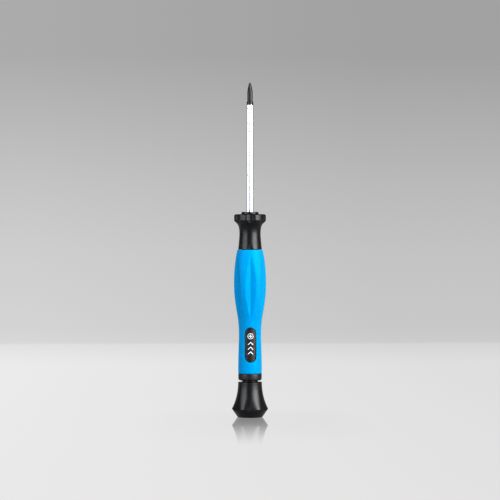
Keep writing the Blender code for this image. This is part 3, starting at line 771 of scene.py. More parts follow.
def cap_outline(azimuth):
    edge = CAP_EDGE - lobe_depth(azimuth, CAP_EDGE_Z)
    edge_z = CAP_EDGE_Z * (edge - CAP_BASE) / (CAP_EDGE - CAP_BASE)
    slope = [flare(azimuth, edge_z + (CAP_TOP_Z - edge_z) * share) for share in FLARE_SHARES]
    outside = [(CAP_BASE, 0, BASE_FILLET), (edge + 0.05, edge_z, EDGE_FILLET), *slope,
               (CAP_TOP, CAP_TOP_Z, TOP_FILLET)]
    inside = [(CAP_HOLE, CAP_TOP_Z, 0.1), (CAP_HOLE, SEAT_Z), (BEARING_SEAT, SEAT_Z), (BEARING_SEAT, GROOVE_HIGH_Z),
              (RING_GROOVE, GROOVE_HIGH_Z), (RING_GROOVE, GROOVE_LOW_Z), (WELL, GROOVE_LOW_Z), (WELL, PLUG_Z),
              (PLUG_SEAT, PLUG_Z), (PLUG_SEAT, 0, 0.1)]
    return rounded(outside + inside, 6)


def make_cap():
    azimuths = even(CAP_COLUMNS)
    outlines = [cap_outline(azimuth) for azimuth in azimuths]
    rings = [[polar(azimuth, *outline[row]) for azimuth, outline in zip(azimuths, outlines)]
             for row in range(len(outlines[0]))]
    return piece("cap", skin(rings), "cap", "cap_shell")


cap = make_cap()

# %% [markdown]
# ## Cap plug
# A pressed-in disc closes the cap from below. Its underside has a shallow round recess, left by the mould's core,
# and a rim on its top fits the well.

# %% Cap plug
plug_low, plug_high = span("cap_plug")
PLUG, RECESS, RECESS_Z, RIM_INSIDE, DISC_Z = widest("cap_plug"), 2.4, 0.5, 3.3, 1.55
plug = piece("plug", turned([
    (0, RECESS_Z), (RECESS, RECESS_Z, 0.1), (RECESS, plug_low, 0.08), (PLUG, plug_low, 0.12), (PLUG, DISC_Z, 0.1),
    (BEARING_SEAT, DISC_Z), (BEARING_SEAT, plug_high, 0.15), (RIM_INSIDE, plug_high, 0.1),
    (RIM_INSIDE, DISC_Z, 0.15), (0, DISC_Z)], FINE_SEGMENTS), "cap", "cap_plug")

# %% [markdown]
# ## Threaded insert
# A brass bush is pressed into the hot core, so that the screw bites in metal. Ridges along its side stop it from
# turning. Two grooves cross them, and the plastic that flows in there stops it from pulling out.

# %% Threaded insert
INSERT_RIDGES, RIDGE_DEPTH, INSERT_HOLE, HOLE_CHAMFER = 24, 0.13, 1.27, 0.12
BANDS, BAND_CHAMFER, BAND_RISE = ((0.3, 2.2), (2.7, 5.3), (5.8, 7.6)), 0.06, 0.2
insert_low, insert_high = span("threaded_insert")
INSERT = widest("threaded_insert")


def ridged_ring(radius, z, depth):
    return [polar(azimuth, radius - depth * abs(math.cos(INSERT_RIDGES / 2 * azimuth)), z)
            for azimuth in even(4 * INSERT_RIDGES)]


def make_insert():
    rings = [ridged_ring(INSERT - 0.25, insert_low, 0), ridged_ring(INSERT - 0.02, insert_low + 0.2, 0)]
    for start, end in BANDS:
        low, high = insert_low + start, insert_low + end
        rings += [ridged_ring(radius, z, depth) for radius, z, depth in (
            (INSERT - BAND_RISE, low - BAND_CHAMFER, 0), (INSERT, low, 0.02),
            (INSERT, low + BAND_CHAMFER, RIDGE_DEPTH), (INSERT, high - BAND_CHAMFER, RIDGE_DEPTH),
            (INSERT, high, 0.02), (INSERT - BAND_RISE, high + BAND_CHAMFER, 0))]
    rings += [ridged_ring(radius, z, 0) for radius, z in (
        (INSERT - 0.2, insert_high - 0.2), (INSERT - 0.35, insert_high), (INSERT_HOLE + HOLE_CHAMFER, insert_high),
        (INSERT_HOLE, insert_high - HOLE_CHAMFER), (INSERT_HOLE, insert_low + HOLE_CHAMFER),
        (INSERT_HOLE + HOLE_CHAMFER, insert_low))]
    return piece("insert", skin(rings), "handle", "threaded_insert")


insert = make_insert()

# %% [markdown]
# ## Shoulder screw
# One screw holds the bearing on the handle and is the axle that the cap turns on. It was turned from bar: a low
# head, a ground shoulder for the bearing, and a rolled thread. The hexagon socket was punched in while cold, and
# has the drill's cone at its end. The radius follows the screw line here, so the thread is a true helix.

# %% Thread and socket
THREAD_PITCH, THREAD_ROOT, THREAD_CREST = 0.45, 1.0, 1.25
THREAD_LOW, THREAD_HIGH = 17.35, 24.7
THREAD_RUNOUT, SOCKET_FLAT = 0.3, 0.753
FLANK_SLOPE, ROOT_LAND = 1.4, 0.2


def thread_ring(z):
    ends = max(0, min(1, (z - THREAD_LOW) / THREAD_RUNOUT, (THREAD_HIGH - z) / THREAD_RUNOUT))
    ring = []
    for azimuth in even(SEGMENTS):
        share = (z / THREAD_PITCH - azimuth / TURN) % 1
        flank = min(1, max(0, FLANK_SLOPE * abs(2 * share - 1) - ROOT_LAND))
        ring.append(polar(azimuth, THREAD_ROOT + (THREAD_CREST - THREAD_ROOT) * flank * ends, z))
    return ring


def hexagon_ring(z):
    return [polar(azimuth, SOCKET_FLAT / math.cos((azimuth + SECTOR / 2) % SECTOR - SECTOR / 2), z)
            for azimuth in even(SEGMENTS)]


print("the thread makes", round((THREAD_HIGH - THREAD_LOW) / THREAD_PITCH, 1), "turns")

# %% [markdown]
# The screw is one skin, from the cone in its socket, round the head and up the shoulder, along the thread and over
# the chamfered end.

# %% Shoulder screw
SHOULDER, HEAD_HIGH, SHOULDER_HIGH, SOCKET_FLOOR, UNDERCUT = 1.45, 11.9, 17.2, 11.2, 0.05


def make_screw():
    low, high = span("shoulder_screw")
    head = widest("shoulder_screw")
    outline = rounded([(0.95, low), (head, low, 0.25), (head, HEAD_HIGH, 0.08), (SHOULDER - UNDERCUT, HEAD_HIGH),
                       (SHOULDER - UNDERCUT, HEAD_HIGH + 0.2), (SHOULDER, HEAD_HIGH + 0.25),
                       (SHOULDER, SHOULDER_HIGH, 0.08), (THREAD_ROOT, SHOULDER_HIGH, 0.05)])
    rings = [[(0, 0, SOCKET_FLOOR + 0.3)], hexagon_ring(SOCKET_FLOOR), hexagon_ring(low + 0.1)]
    rings += flat_rings(outline, even(SEGMENTS))
    rings += [thread_ring(z) for z in between(THREAD_LOW, THREAD_HIGH, 130)]
    rings += flat_rings(((0.98, high - 0.2), (0.78, high), (0, high)), even(SEGMENTS))
    return piece("screw", skin(rings), "handle", "shoulder_screw")


screw = make_screw()

# %% [markdown]
# ## Spring rings
# The lock washer under the screw's head and the snap ring under the bearing are coiled from flat wire and cut
# through, so each has a gap. An outline is carried along the arc, and the two cut ends are closed.

# %% Spring rings
WASHER_HOLE, WASHER_OPENING = 1.52, math.radians(12)
SNAP_HOLE, SNAP, SNAP_OPENING = 3.55, 4.45, math.radians(50)


def coiled(corners, opening, steps=120):
    mesh = bmesh.new()
    close_ends(mesh, vertices(mesh, [[polar(azimuth, radius, z) for radius, z in rounded(corners)]
                                     for azimuth in between(opening / 2, TURN - opening / 2, steps)]))
    return mesh


def ring_outline(inner, outer, low, high, fillet):
    return [(inner, low, fillet), (outer, low, fillet), (outer, high, fillet), (inner, high, fillet)]


washer = piece("washer", coiled(ring_outline(WASHER_HOLE, widest("lock_washer"), *span("lock_washer"), 0.06),
                                WASHER_OPENING), "handle", "lock_washer")
snap_ring = piece("snap_ring", coiled(ring_outline(SNAP_HOLE, SNAP, *span("retaining_ring"), 0.05),
                                      SNAP_OPENING), "cap", "retaining_ring")

# %% [markdown]
# ## Spacer
# A stepped bush keeps the core clear of the bearing's outer ring. Its edge is what shows in the narrow gap above
# the cap.

# %% Spacer
spacer_low, spacer_high = span("spacer_bush")
SPACER_HOLE, SPACER_NECK, SPACER_STEP_Z, SPACER = 1.55, 2.2, 16.32, widest("spacer_bush")
spacer = piece("spacer", turned([
    (SPACER_HOLE, spacer_low, 0.08), (SPACER_NECK, spacer_low, 0.08), (SPACER_NECK, SPACER_STEP_Z, 0.1),
    (SPACER, SPACER_STEP_Z, 0.08), (SPACER, spacer_high, 0.08), (SPACER_HOLE, spacer_high, 0.08)]),
    "handle", "spacer_bush")

# %% [markdown]
# ## Ball bearing
# The cap runs on a miniature deep-groove bearing. The groove in each ring has a slightly larger radius than the
# balls. The shields snap into seats in the outer ring and keep dust out.

# %% Bearing rings
bearing_low, bearing_high = span("bearing_inner_ring")
BEARING_MIDDLE = (bearing_low + bearing_high) / 2
BALL_PITCH, RACE, SEAT_DEPTH = 2.75, 0.8, 0.35


def race(land, side):
    """The ball groove of a ring, from its lower edge to its upper edge; side is 1 outside the balls."""
    reach = math.acos(abs(land - BALL_PITCH) / RACE)
    return [(BALL_PITCH + side * RACE * math.cos(angle), BEARING_MIDDLE + RACE * math.sin(angle))
            for angle in between(-reach, reach, 16)]


INNER, INNER_LAND, OUTER_LAND, SHIELD_SEAT, OUTER = 1.5, 2.25, 3.25, 3.55, 4.0
inner_ring = piece("inner_ring", turned([
    (INNER, bearing_low, 0.14), (INNER_LAND, bearing_low, 0.06), *race(INNER_LAND, -1),
    (INNER_LAND, bearing_high, 0.06), (INNER, bearing_high, 0.14)]), "handle", "bearing_inner_ring")
outer_ring = piece("outer_ring", turned([
    (OUTER, bearing_low, 0.14), (SHIELD_SEAT, bearing_low, 0.05), (SHIELD_SEAT, bearing_low + SEAT_DEPTH),
    (OUTER_LAND, bearing_low + SEAT_DEPTH, 0.05), *race(OUTER_LAND, 1), (OUTER_LAND, bearing_high - SEAT_DEPTH, 0.05),
    (SHIELD_SEAT, bearing_high - SEAT_DEPTH), (SHIELD_SEAT, bearing_high, 0.05), (OUTER, bearing_high, 0.14)]),
    "cap", "bearing_outer_ring")

# %% [markdown]
# A shield is pressed from thin sheet. A shallow ring sunk in its outer face makes it stiff.

# %% Shields
SHIELD_HOLE, SHIELD, SHIELD_SINK = 2.33, 3.5, 0.06
SUNK_FROM, SUNK_TO, SUNK_SLOPE = 2.72, 3.22, 0.1


def make_shield(name, node, outside, inside):
    """A pressed ring with a shallow groove in its outer face."""
    sunk = outside + SHIELD_SINK * math.copysign(1, inside - outside)
    return piece(name, turned([
        (SHIELD_HOLE, outside, 0.04), (SUNK_FROM, outside, 0.05), (SUNK_FROM + SUNK_SLOPE, sunk, 0.05),
        (SUNK_TO - SUNK_SLOPE, sunk, 0.05), (SUNK_TO, outside, 0.05), (SHIELD, outside, 0.06),
        (SHIELD, inside, 0.06), (SHIELD_HOLE, inside, 0.04)]), "cap", node)


shields = [make_shield("lower_shield", "bearing_shield_lower", *span("bearing_shield_lower")),
           make_shield("upper_shield", "bearing_shield_upper", *reversed(span("bearing_shield_upper")))]

# %% [markdown]
# ## Balls and cage
# Seven hardened balls roll in a brass crown. Its pockets are round at the bottom and open at the top, where the
# balls were pressed in. The top edge of the crown's wall is one closed path that dips under each ball.

# %% Cage
POCKET = 0.82
cage_low, cage_high = span("bearing_cage")


def crown_path():
    """(azimuth, z) along the crown's top edge."""
    path = []
    for ball in even(7):
        dip = [(-POCKET - 0.05, cage_high), (-POCKET - 0.01, cage_high - 0.05)]
        dip += [(POCKET * math.cos(angle), BEARING_MIDDLE + POCKET * math.sin(angle))
                for angle in between(-TURN / 2, 0, 20)]
        dip += [(POCKET + 0.01, cage_high - 0.05), (POCKET + 0.05, cage_high)]
        path += [(ball + across / BALL_PITCH, z) for across, z in dip]
    return path


def make_cage():
    path = crown_path()
    inner, outer, edge = 2.5, 3.0, 0.03
    rings = [[polar(azimuth, radius, z) for azimuth, _ in path] for radius, z in (
        (inner, cage_low + edge), (inner + edge, cage_low), (outer - edge, cage_low), (outer, cage_low + edge))]
    rings += [[polar(azimuth, radius, z - down) for azimuth, z in path] for radius, down in (
        (outer, edge), (outer - edge, 0), (inner + edge, 0), (inner, edge))]
    return piece("cage", skin(rings), "ball_set", "bearing_cage")


cage = make_cage()

# %% [markdown]
# A bearing ball is one of the few pieces of any tool that truly is a sphere, lapped to within a fraction of a
# thousandth of a millimetre. Each one is placed where its CAD node is.

# %% Balls
def make_ball(number):
    node = f"bearing_ball_{number}"
    low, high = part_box(node)
    mesh = bmesh.new()
    bmesh.ops.create_uvsphere(mesh, u_segments=40, v_segments=24, radius=(high.z - low.z) / 2)
    bmesh.ops.translate(mesh, verts=mesh.verts, vec=(low + high) / 2)
    return piece(f"ball_{number}", mesh, "ball_set", node)


balls = [make_ball(number) for number in range(1, 8)]

# %% [markdown]
# ## Nodes
# Every finish is a small network of nodes. One function adds a node, and a link or a value goes into each input.
# Colours are written as sRGB hex codes and turned into linear light. Patterns are measured in millimetres, because
# a scratch or a moulded grain has a true size: `in_millimetres` scales the object's own coordinates for them.

# %% Node helpers
def linear(code):
    channels = [int(code[i:i + 2], 16) / 255 for i in (0, 2, 4)]
    return (*(c / 12.92 if c <= 0.04045 else ((c + 0.055) / 1.055) ** 2.4 for c in channels), 1)


def add(tree, kind, inputs=None, **settings):
    made = tree.nodes.new(kind)
    for name, value in settings.items():
        setattr(made, name, value)
    for key, value in (inputs or {}).items():
        if isinstance(value, bpy.types.NodeSocket):
            tree.links.new(value, made.inputs[key])
        else:
            made.inputs[key].default_value = value
    return made


def calculate(tree, operation, *values):
    return add(tree, "ShaderNodeMath", dict(enumerate(values)), operation=operation).outputs[0]


def remap(tree, value, start, end, low=0.0, high=1.0, easing="LINEAR"):
    """Maps start to end onto low to high, and stays level beyond them."""
    ends = {"Value": value, "From Min": start, "From Max": end, "To Min": low, "To Max": high}
    return add(tree, "ShaderNodeMapRange", ends, interpolation_type=easing).outputs["Result"]


def in_millimetres(tree, stretch=(1, 1, 1)):
    place = add(tree, "ShaderNodeTexCoord").outputs["Object"]
    scale = [1 / MM / side for side in stretch]
    return add(tree, "ShaderNodeMapping", {"Vector": place, "Scale": scale}).outputs["Vector"]


def grain(tree, size, stretch=(1, 1, 1), detail=2):
    """A cloudy pattern whose spots are about this many millimetres across."""
    where = in_millimetres(tree, stretch)
    return add(tree, "ShaderNodeTexNoise", {"Vector": where, "Scale": 1 / size, "Detail": detail}).outputs["Fac"]


print("the hex code 808080 is a linear level of", round(linear("808080")[0], 3))

# %% [markdown]
# ## Finishes
# A finish differs from spot to spot in three ways: how glossy it is, what colour it is, and how rough to the touch.
# Each of the three has a function that takes a pattern. Hands and pockets also rub a tool's outer edges, which the
# Pointiness of the mesh finds.

# %% Finish helpers
EDGE_FROM, EDGE_TO = 0.52, 0.6


def new_finish(name, **values):
    """A material and its Principled shader, with plain values on the shader's own inputs."""
    material = bpy.data.materials.new(name)
    material.use_nodes = True
    shader = material.node_tree.nodes["Principled BSDF"]
    for key, value in values.items():
        shader.inputs[key.replace("_", " ")].default_value = value
    return material, shader, material.node_tree


def gloss(tree, shader, pattern, low, high, rubbed=0.0):
    """A roughness from low to high, which changes by `rubbed` along outer edges."""
    roughness = remap(tree, pattern, 0, 1, low, high)
    if rubbed:
        bulge = add(tree, "ShaderNodeNewGeometry").outputs["Pointiness"]
        roughness = calculate(tree, "MULTIPLY_ADD", remap(tree, bulge, EDGE_FROM, EDGE_TO), rubbed, roughness)
    tree.links.new(roughness, shader.inputs["Roughness"])


def tint(tree, shader, pattern, first, second):
    """The first colour where the pattern is 0 and the second where it is 1; 6 and 7 are the Mix node's colours."""
    mixed = add(tree, "ShaderNodeMix", {0: pattern, 6: linear(first), 7: linear(second)}, data_type="RGBA")
    tree.links.new(mixed.outputs[2], shader.inputs["Base Color"])


def relief(tree, shader, *layers):
    """Bumps one on another; each layer is a pattern and its height in millimetres."""
    normal = None
    for height, size in layers:
        inputs = {"Height": height, "Strength": 1.0, "Distance": size * MM}
        if normal:
            inputs["Normal"] = normal
        normal = add(tree, "ShaderNodeBump", inputs).outputs["Normal"]
    tree.links.new(normal, shader.inputs["Normal"])


def wear(material, *pieces):
    for each in pieces:
        each.data.materials.clear()
        each.data.materials.append(material)
    print(material.name, "with", len(material.node_tree.nodes), "nodes on", ", ".join(each.name for each in pieces))


print("edges are rubbed from a pointiness of", EDGE_FROM)

# %% [markdown]
# ## Hard black plastic
# The core, the cap and the bush are injection-moulded ABS, from a mould that was polished and then lightly
# blasted. The surface is satin, its gloss drifts a little over a few millimetres, and the blasting leaves a grain
# of about a tenth of a millimetre.

# %% Satin black plastic
satin_abs, shader, tree = new_finish("abs_satin_moulded", Base_Color=linear("0D0D0F"), Roughness=0.3, IOR=1.5,
                                    Specular_IOR_Level=0.3)
tint(tree, shader, grain(tree, 1.1, detail=4), "0B0B0D", "131316")
gloss(tree, shader, grain(tree, 3.0), 0.27, 0.37, rubbed=-0.08)
relief(tree, shader, (grain(tree, 0.12), 0.002), (grain(tree, 0.5, detail=4), 0.010), (grain(tree, 2.5), 0.008))
wear(satin_abs, core, cap, plug, nose_bush)

# %% [markdown]
# The ferrule and the name plate come from a spark-eroded mould, whose finer and deeper grain looks matte.

# %% Matte black plastic
matte_abs, shader, tree = new_finish("abs_spark_textured", Base_Color=linear("121215"), Roughness=0.45, IOR=1.5,
                                    Specular_IOR_Level=0.35)
gloss(tree, shader, grain(tree, 2.0), 0.38, 0.5)
tint(tree, shader, grain(tree, 0.5, detail=3), "101013", "17171A")
relief(tree, shader, (grain(tree, 0.08, detail=4), 0.004), (grain(tree, 0.4, detail=3), 0.005))
wear(matte_abs, ferrule, plate)

# %% [markdown]
# ## Blue elastomer
# A thermoplastic elastomer is soft, so its skin scatters light more than a hard plastic. The pigment colours even
# the highlights here, which is set on the shader's specular tint.

# %% Soft blue elastomer
soft_tpe, shader, tree = new_finish("elastomer_soft_touch", Base_Color=linear("006C93"), Roughness=0.42, IOR=1.5,
                                    Specular_Tint=linear("00CCFF"), Specular_IOR_Level=0.22)
tint(tree, shader, grain(tree, 1.5, detail=4), "00688C", "007199")
gloss(tree, shader, grain(tree, 4.0), 0.38, 0.48, rubbed=-0.06)
relief(tree, shader, (grain(tree, 0.1, detail=3), 0.003), (grain(tree, 0.7, detail=3), 0.005))
wear(soft_tpe, sleeve)

# %% [markdown]
# ## Rings from the lathe
# Turned and ground metal carries marks that run round the axis: rings that follow the radius on a face and the
# height on a side. The pattern is read at (radius, height) for this, and not at the point itself, so that the rings
# are true circles.

# %% Lathe marks
def lathe_marks(tree, size, detail=2):
    place = add(tree, "ShaderNodeTexCoord").outputs["Object"]
    flat = add(tree, "ShaderNodeVectorMath", {0: place, 1: (1, 1, 0)}, operation="MULTIPLY").outputs["Vector"]
    radius = add(tree, "ShaderNodeVectorMath", {0: flat}, operation="LENGTH").outputs["Value"]
    height = add(tree, "ShaderNodeSeparateXYZ", {0: place}).outputs["Z"]
    where = add(tree, "ShaderNodeCombineXYZ", {"X": radius, "Z": height}).outputs[0]
    return add(tree, "ShaderNodeTexNoise", {"Vector": where, "Scale": 1 / size / MM, "Detail": detail}).outputs["Fac"]


trial = bpy.data.materials.new("trial")
trial.use_nodes = True
lathe_marks(trial.node_tree, 0.1)
print("lathe marks take", len(trial.node_tree.nodes) - 2, "nodes")
bpy.data.materials.remove(trial)

# %% [markdown]
# ## Chrome plate
# The wire was ground between wheels before plating, which leaves fine rings round it under the chrome. Bands
# across the wire, where the wheels had worn unevenly, make the gloss vary along its length. The true rings are
# about a fiftieth of a millimetre apart. They are drawn five times coarser here, so that a render can resolve them.

# %% Chrome
chrome, shader, tree = new_finish("chrome_plate_on_ground_wire", Base_Color=linear("C6C8CC"), Metallic=1.0,
                                  Roughness=0.3)
gloss(tree, shader, grain(tree, 0.2, (12, 12, 1)), 0.26, 0.33)
tint(tree, shader, grain(tree, 2.0, detail=3), "C2C4C9", "CACCD0")
relief(tree, shader, (lathe_marks(tree, 0.1), 0.0001))
wear(chrome, blade_shank)

# %% [markdown]
# ## Black oxide
# The tip was blackened in hot salts, which turn the steel's skin to magnetite a thousandth of a millimetre thick.
# The milling marks along the flutes still show through it.

# %% Black oxide
oxide, shader, tree = new_finish("black_oxide_on_milled_steel", Base_Color=linear("090B0F"), Roughness=0.3, IOR=1.5,
                                Specular_IOR_Level=0.32)
gloss(tree, shader, grain(tree, 0.4), 0.2, 0.34)
tint(tree, shader, grain(tree, 0.3, detail=3), "07090D", "0E1015")
relief(tree, shader, (grain(tree, 0.05, (1, 1, 8)), 0.0015))
wear(oxide, blade_tip)

# %% [markdown]
# ## Pad-printed ink
# The ink is pale grey and matte, and slightly mottled by the silicone pad that carried it.

# %% Ink
ink, shader, tree = new_finish("pad_printed_ink", Base_Color=linear("959CA4"), Roughness=0.6)
gloss(tree, shader, grain(tree, 0.3), 0.5, 0.7)
tint(tree, shader, grain(tree, 0.15, detail=3), "8E959D", "9CA3AA")
relief(tree, shader, (grain(tree, 0.15, detail=3), 0.0005))
wear(ink, marks)

# %% [markdown]
# ## Steels and brass inside
# The brass and the screw still carry coarse marks of the lathe. The bearing's steel was ground and lapped after
# hardening, and keeps only the faintest of them.

# %% Brass and turned steel
brass, shader, tree = new_finish("brass_machined", Base_Color=linear("D2AE62"), Metallic=1.0, Roughness=0.3)
gloss(tree, shader, grain(tree, 0.8), 0.22, 0.38)
tint(tree, shader, grain(tree, 0.8, detail=3), "CBA559", "D8B66C")
relief(tree, shader, (lathe_marks(tree, 0.06), 0.0015), (grain(tree, 0.3), 0.001))
wear(brass, insert, cage)

turned_steel, shader, tree = new_finish("steel_turned", Base_Color=linear("A2A4A8"), Metallic=1.0, Roughness=0.28)
gloss(tree, shader, grain(tree, 0.7), 0.2, 0.36)
tint(tree, shader, grain(tree, 0.6, detail=3), "9A9CA0", "A9ABAF")
relief(tree, shader, (lathe_marks(tree, 0.05, detail=4), 0.0015))
wear(turned_steel, screw, *shields)

# %% [markdown]
# The bearing's steel is the smoothest metal of all. Its true lapping marks are finer than a hundredth of a
# millimetre. They are drawn a few times coarser here.

# %% Bearing steel
bearing_steel, shader, tree = new_finish("bearing_steel_ground_and_lapped", Base_Color=linear("C2C4C8"),
                                         Metallic=1.0, Roughness=0.1)
gloss(tree, shader, grain(tree, 0.5), 0.06, 0.14)
tint(tree, shader, grain(tree, 0.6), "BDBFC3", "C6C8CC")
relief(tree, shader, (lathe_marks(tree, 0.03), 0.0003))
wear(bearing_steel, inner_ring, outer_ring, *balls)

# %% [markdown]
# The spring rings and the spacer are blackened and then dipped in oil, which pools in thin patches and makes some
# spots glossier than others.

# %% Oiled black steel
oiled_steel, shader, tree = new_finish("spring_steel_blackened_and_oiled", Base_Color=linear("101114"),
                                       Roughness=0.35, IOR=1.5, Specular_IOR_Level=0.35)
gloss(tree, shader, grain(tree, 0.9, detail=4), 0.2, 0.5)
tint(tree, shader, grain(tree, 0.9, detail=4), "0C0D10", "19191B")
relief(tree, shader, (grain(tree, 0.08, detail=3), 0.002))
wear(oiled_steel, washer, snap_ring, spacer)

# %% [markdown]
# ## Studio
# The tool stands on a pale sheet of paper that sweeps up behind it in a quarter turn. The studio's lengths are in
# metres.

# %% Pale sweep
SWEEP_HALF_WIDTH, SWEEP_FRONT, SWEEP_HEIGHT = 2.5, -2.5, 3.0
BEND_START, BEND_RADIUS, BEND_STEPS = 0.69, 0.12, 16


def make_sweep():
    wall = BEND_START + BEND_RADIUS
    profile = [(SWEEP_FRONT, 0), (-0.3, 0), (0.3, 0), (0.6, 0)]
    profile += [(BEND_START + BEND_RADIUS * math.sin(turn), BEND_RADIUS * (1 - math.cos(turn)))
                for turn in between(0, TURN / 4, BEND_STEPS)]
    profile += [(wall, 0.4), (wall, SWEEP_HEIGHT)]
    mesh = bmesh.new()
    left, right = ([mesh.verts.new((x, y, z)) for y, z in profile] for x in (-SWEEP_HALF_WIDTH, SWEEP_HALF_WIDTH))
    for row in range(len(profile) - 1):
        mesh.faces.new((left[row], right[row], right[row + 1], left[row + 1]))
    data = bpy.data.meshes.new("sweep")
    mesh.to_mesh(data)
    mesh.free()
    data.shade_smooth()
    made = show("sweep", data)
    return made


sweep = make_sweep()
print("the paper is", 2 * SWEEP_HALF_WIDTH, "m wide and", SWEEP_HEIGHT, "m high")

# %% [markdown]
# ## Painted light on the paper
# The paper glows by itself here and takes no light from the panels. Its glow is painted light, the product of
# four smooth falls of light: darker higher up the wall, behind the tool, far to the sides, and from left to right.

# %% Paper tones
# Painted light: the paper's glow at each height up the wall, as the studio's light falls off.
WALL_LIGHT_FALL = ((0, 0.839), (0.002, 0.786), (0.017, 0.774), (0.046, 0.759), (0.31, 0.725), (0.54, 0.672),
              (0.725, 0.619), (0.894, 0.569), (1, 0.537))
WALL_FALL_PER_METRE = 4.0
BEHIND, FAR_ASIDE = (0.42, 0.7, 1.0, 0.93), (0.33, 1.6, 1.0, 0.33)
ACROSS = (-0.15, 0.15, 1.045, 0.955)


def ramp(tree, value, stops):
    made = add(tree, "ShaderNodeValToRGB", {"Fac": value})
    elements = made.color_ramp.elements
    for place, level in stops[1:-1]:
        elements.new(place)
    for element, (place, level) in zip(elements, stops):
        element.position = place
        element.color = (level, level, level, 1)
    return made.outputs["Color"]


def multiply(tree, first, *others):
    for other in others:
        first = calculate(tree, "MULTIPLY", first, other)
    return first


paper = bpy.data.materials.new("paper_painted_light")
paper.use_nodes = True
tree = paper.node_tree
tree.nodes.clear()
place = add(tree, "ShaderNodeTexCoord").outputs["Object"]
axes = add(tree, "ShaderNodeSeparateXYZ", {0: place}).outputs
# The glow is painted light: its falloff with height, depth and side stands in for the studio's light on the paper.
up = ramp(tree, multiply(tree, axes["Z"], WALL_FALL_PER_METRE), WALL_LIGHT_FALL)
back = remap(tree, axes["Y"], *BEHIND)
before = calculate(tree, "MINIMUM", axes["Y"], 0.0)
off_axis = add(tree, "ShaderNodeCombineXYZ", {"X": axes["X"], "Y": before}).outputs[0]
reach = add(tree, "ShaderNodeVectorMath", {0: off_axis}, operation="LENGTH").outputs["Value"]
aside = remap(tree, reach, *FAR_ASIDE, "SMOOTHSTEP")
across = remap(tree, axes["X"], *ACROSS)
painted_glow = multiply(tree, multiply(tree, up, back), multiply(tree, aside, across))
print("the paper's tone takes", len(tree.nodes), "nodes")

# %% [markdown]
# A polished spot under the tool mirrors it. It is about a hand wide, and the mirror image fades out with the
# distance from the tool. Fresnel makes the paper shinier at a shallow angle, as all coated paper is. The wall that
# it mirrors is darker than the paper, and a level a little above 1 keeps the spot from looking like a stain.

# %% Polished spot
MIRROR_LEVEL, MIRROR_ROUGHNESS = 1.21, 0.035
FADE_BESIDE, FADE_BEFORE, FADE_BEHIND = (0.025, 0.06), (-0.01, -0.14), (0.0, 0.05)

beside = calculate(tree, "ABSOLUTE", axes["X"])
fades = [remap(tree, value, *ends, 1.0, 0.0, "SMOOTHSTEP")
         for value, ends in ((beside, FADE_BESIDE), (axes["Y"], FADE_BEFORE), (axes["Y"], FADE_BEHIND))]
matte = add(tree, "ShaderNodeEmission", {"Color": (1, 1, 1, 1), "Strength": painted_glow}).outputs[0]
mirror = add(tree, "ShaderNodeBsdfGlossy", {
    "Color": (MIRROR_LEVEL, MIRROR_LEVEL, MIRROR_LEVEL, 1), "Roughness": MIRROR_ROUGHNESS}).outputs[0]
share = multiply(tree, add(tree, "ShaderNodeFresnel", {"IOR": 1.5}).outputs[0], multiply(tree, *fades))
mix = add(tree, "ShaderNodeMixShader", {0: share, 1: matte, 2: mirror}).outputs[0]
add(tree, "ShaderNodeOutputMaterial", {"Surface": mix})
sweep.data.materials.append(paper)
print("the paper has", len(tree.nodes), "nodes")

# %% [markdown]
# ## Lights
# Soft boxes light the tool from both sides and leave a dark gap in between, behind the camera. The chrome and the
# black plastic show that gap. The right box is three panels, one before another, so that it is brightest in its
# middle, as a soft box is. The left one has a narrow, bluish strip in front of it, whose image is the thin bright
# line on the black plastic. Two panels in the same plane would hide each other, so each has its own distance. Light
# linking keeps all of them off the paper.

# %% Lights
CAMERA_AZIMUTH = -3
PANEL_HEIGHT, PANEL_Z = 1.5, 0.78
PANELS = (("right_tail", 52, 40, 1.04, 1.4, (1, 1, 1)), ("right_box", 52, 28, 1.02, 9.0, (1, 1, 1)),
          ("right_core", 52, 17, 1.0, 6.5, (1, 1, 1)), ("left_box", -57, 26, 1.0, 6.8, (0.95, 0.98, 1)),
          ("left_strip", -45, 3, 0.98, 12.0, (0.8, 0.9, 1)))

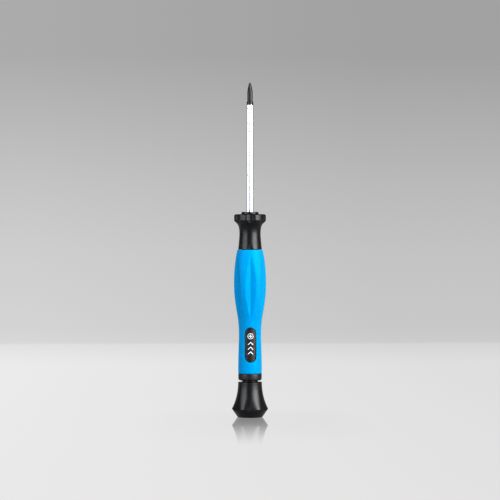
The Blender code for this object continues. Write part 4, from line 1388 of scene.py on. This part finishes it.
unlit = bpy.data.collections.new("not_lit_by_panels")
unlit.objects.link(sweep)
unlit.collection_objects[0].light_linking.link_state = "EXCLUDE"


def panel(name, azimuth, distance, width, radiance, colour):
    """An upright panel that faces the tool; an area light's power is its radiance times pi times its area."""
    light = bpy.data.lights.new(name, "AREA")
    light.shape, light.size, light.size_y = "RECTANGLE", width, PANEL_HEIGHT
    light.energy = radiance * math.pi * width * PANEL_HEIGHT
    light.color = colour
    made = show(name, light)
    made.location = Vector(polar(math.radians(azimuth), distance, PANEL_Z))
    made.rotation_euler = (Vector((0, 0, PANEL_Z)) - made.location).to_track_quat("-Z", "Y").to_euler()
    made.light_linking.receiver_collection = unlit


for name, centre, half_angle, distance, radiance, colour in PANELS:
    width = 2 * distance * math.tan(math.radians(half_angle))
    panel(name, CAMERA_AZIMUTH + centre, distance, width, radiance, colour)
    print(f"{name}: {width:.2f} m wide, {centre} degrees from the camera")

# %% [markdown]
# ## Room and exposure
# The rest of the room is an even, faintly blue grey. A gamma below 1 deepens the dark tones and leaves white where
# it is, as a crisp studio print does.

# %% Room and exposure
ROOM, VIEW_GAMMA = (0.25, 0.25, 0.255, 1), 0.72

world = bpy.data.worlds.new("studio")
world.use_nodes = True
world.node_tree.nodes["Background"].inputs["Color"].default_value = ROOM
bpy.context.scene.world = world
bpy.context.scene.view_settings.view_transform = "Standard"
bpy.context.scene.view_settings.gamma = VIEW_GAMMA
print("the room's level is", ROOM[:3])

# %% [markdown]
# ## Camera
# A long lens at the height of the middle of the tool keeps every upright line upright.

# %% Camera
CAMERA_Z, CAMERA_DISTANCE, CAMERA_LENS = 77.4, 901.8, 140
camera_data = bpy.data.cameras.new("camera")
camera_data.lens = CAMERA_LENS
camera = show("camera", camera_data)
camera.location = Vector(polar(math.radians(CAMERA_AZIMUTH), CAMERA_DISTANCE, CAMERA_Z)) * MM
camera.rotation_euler = (TURN / 4, 0, math.radians(CAMERA_AZIMUTH))
bpy.context.scene.camera = camera
print("the camera is", CAMERA_DISTANCE, "mm away and", CAMERA_Z, "mm high")
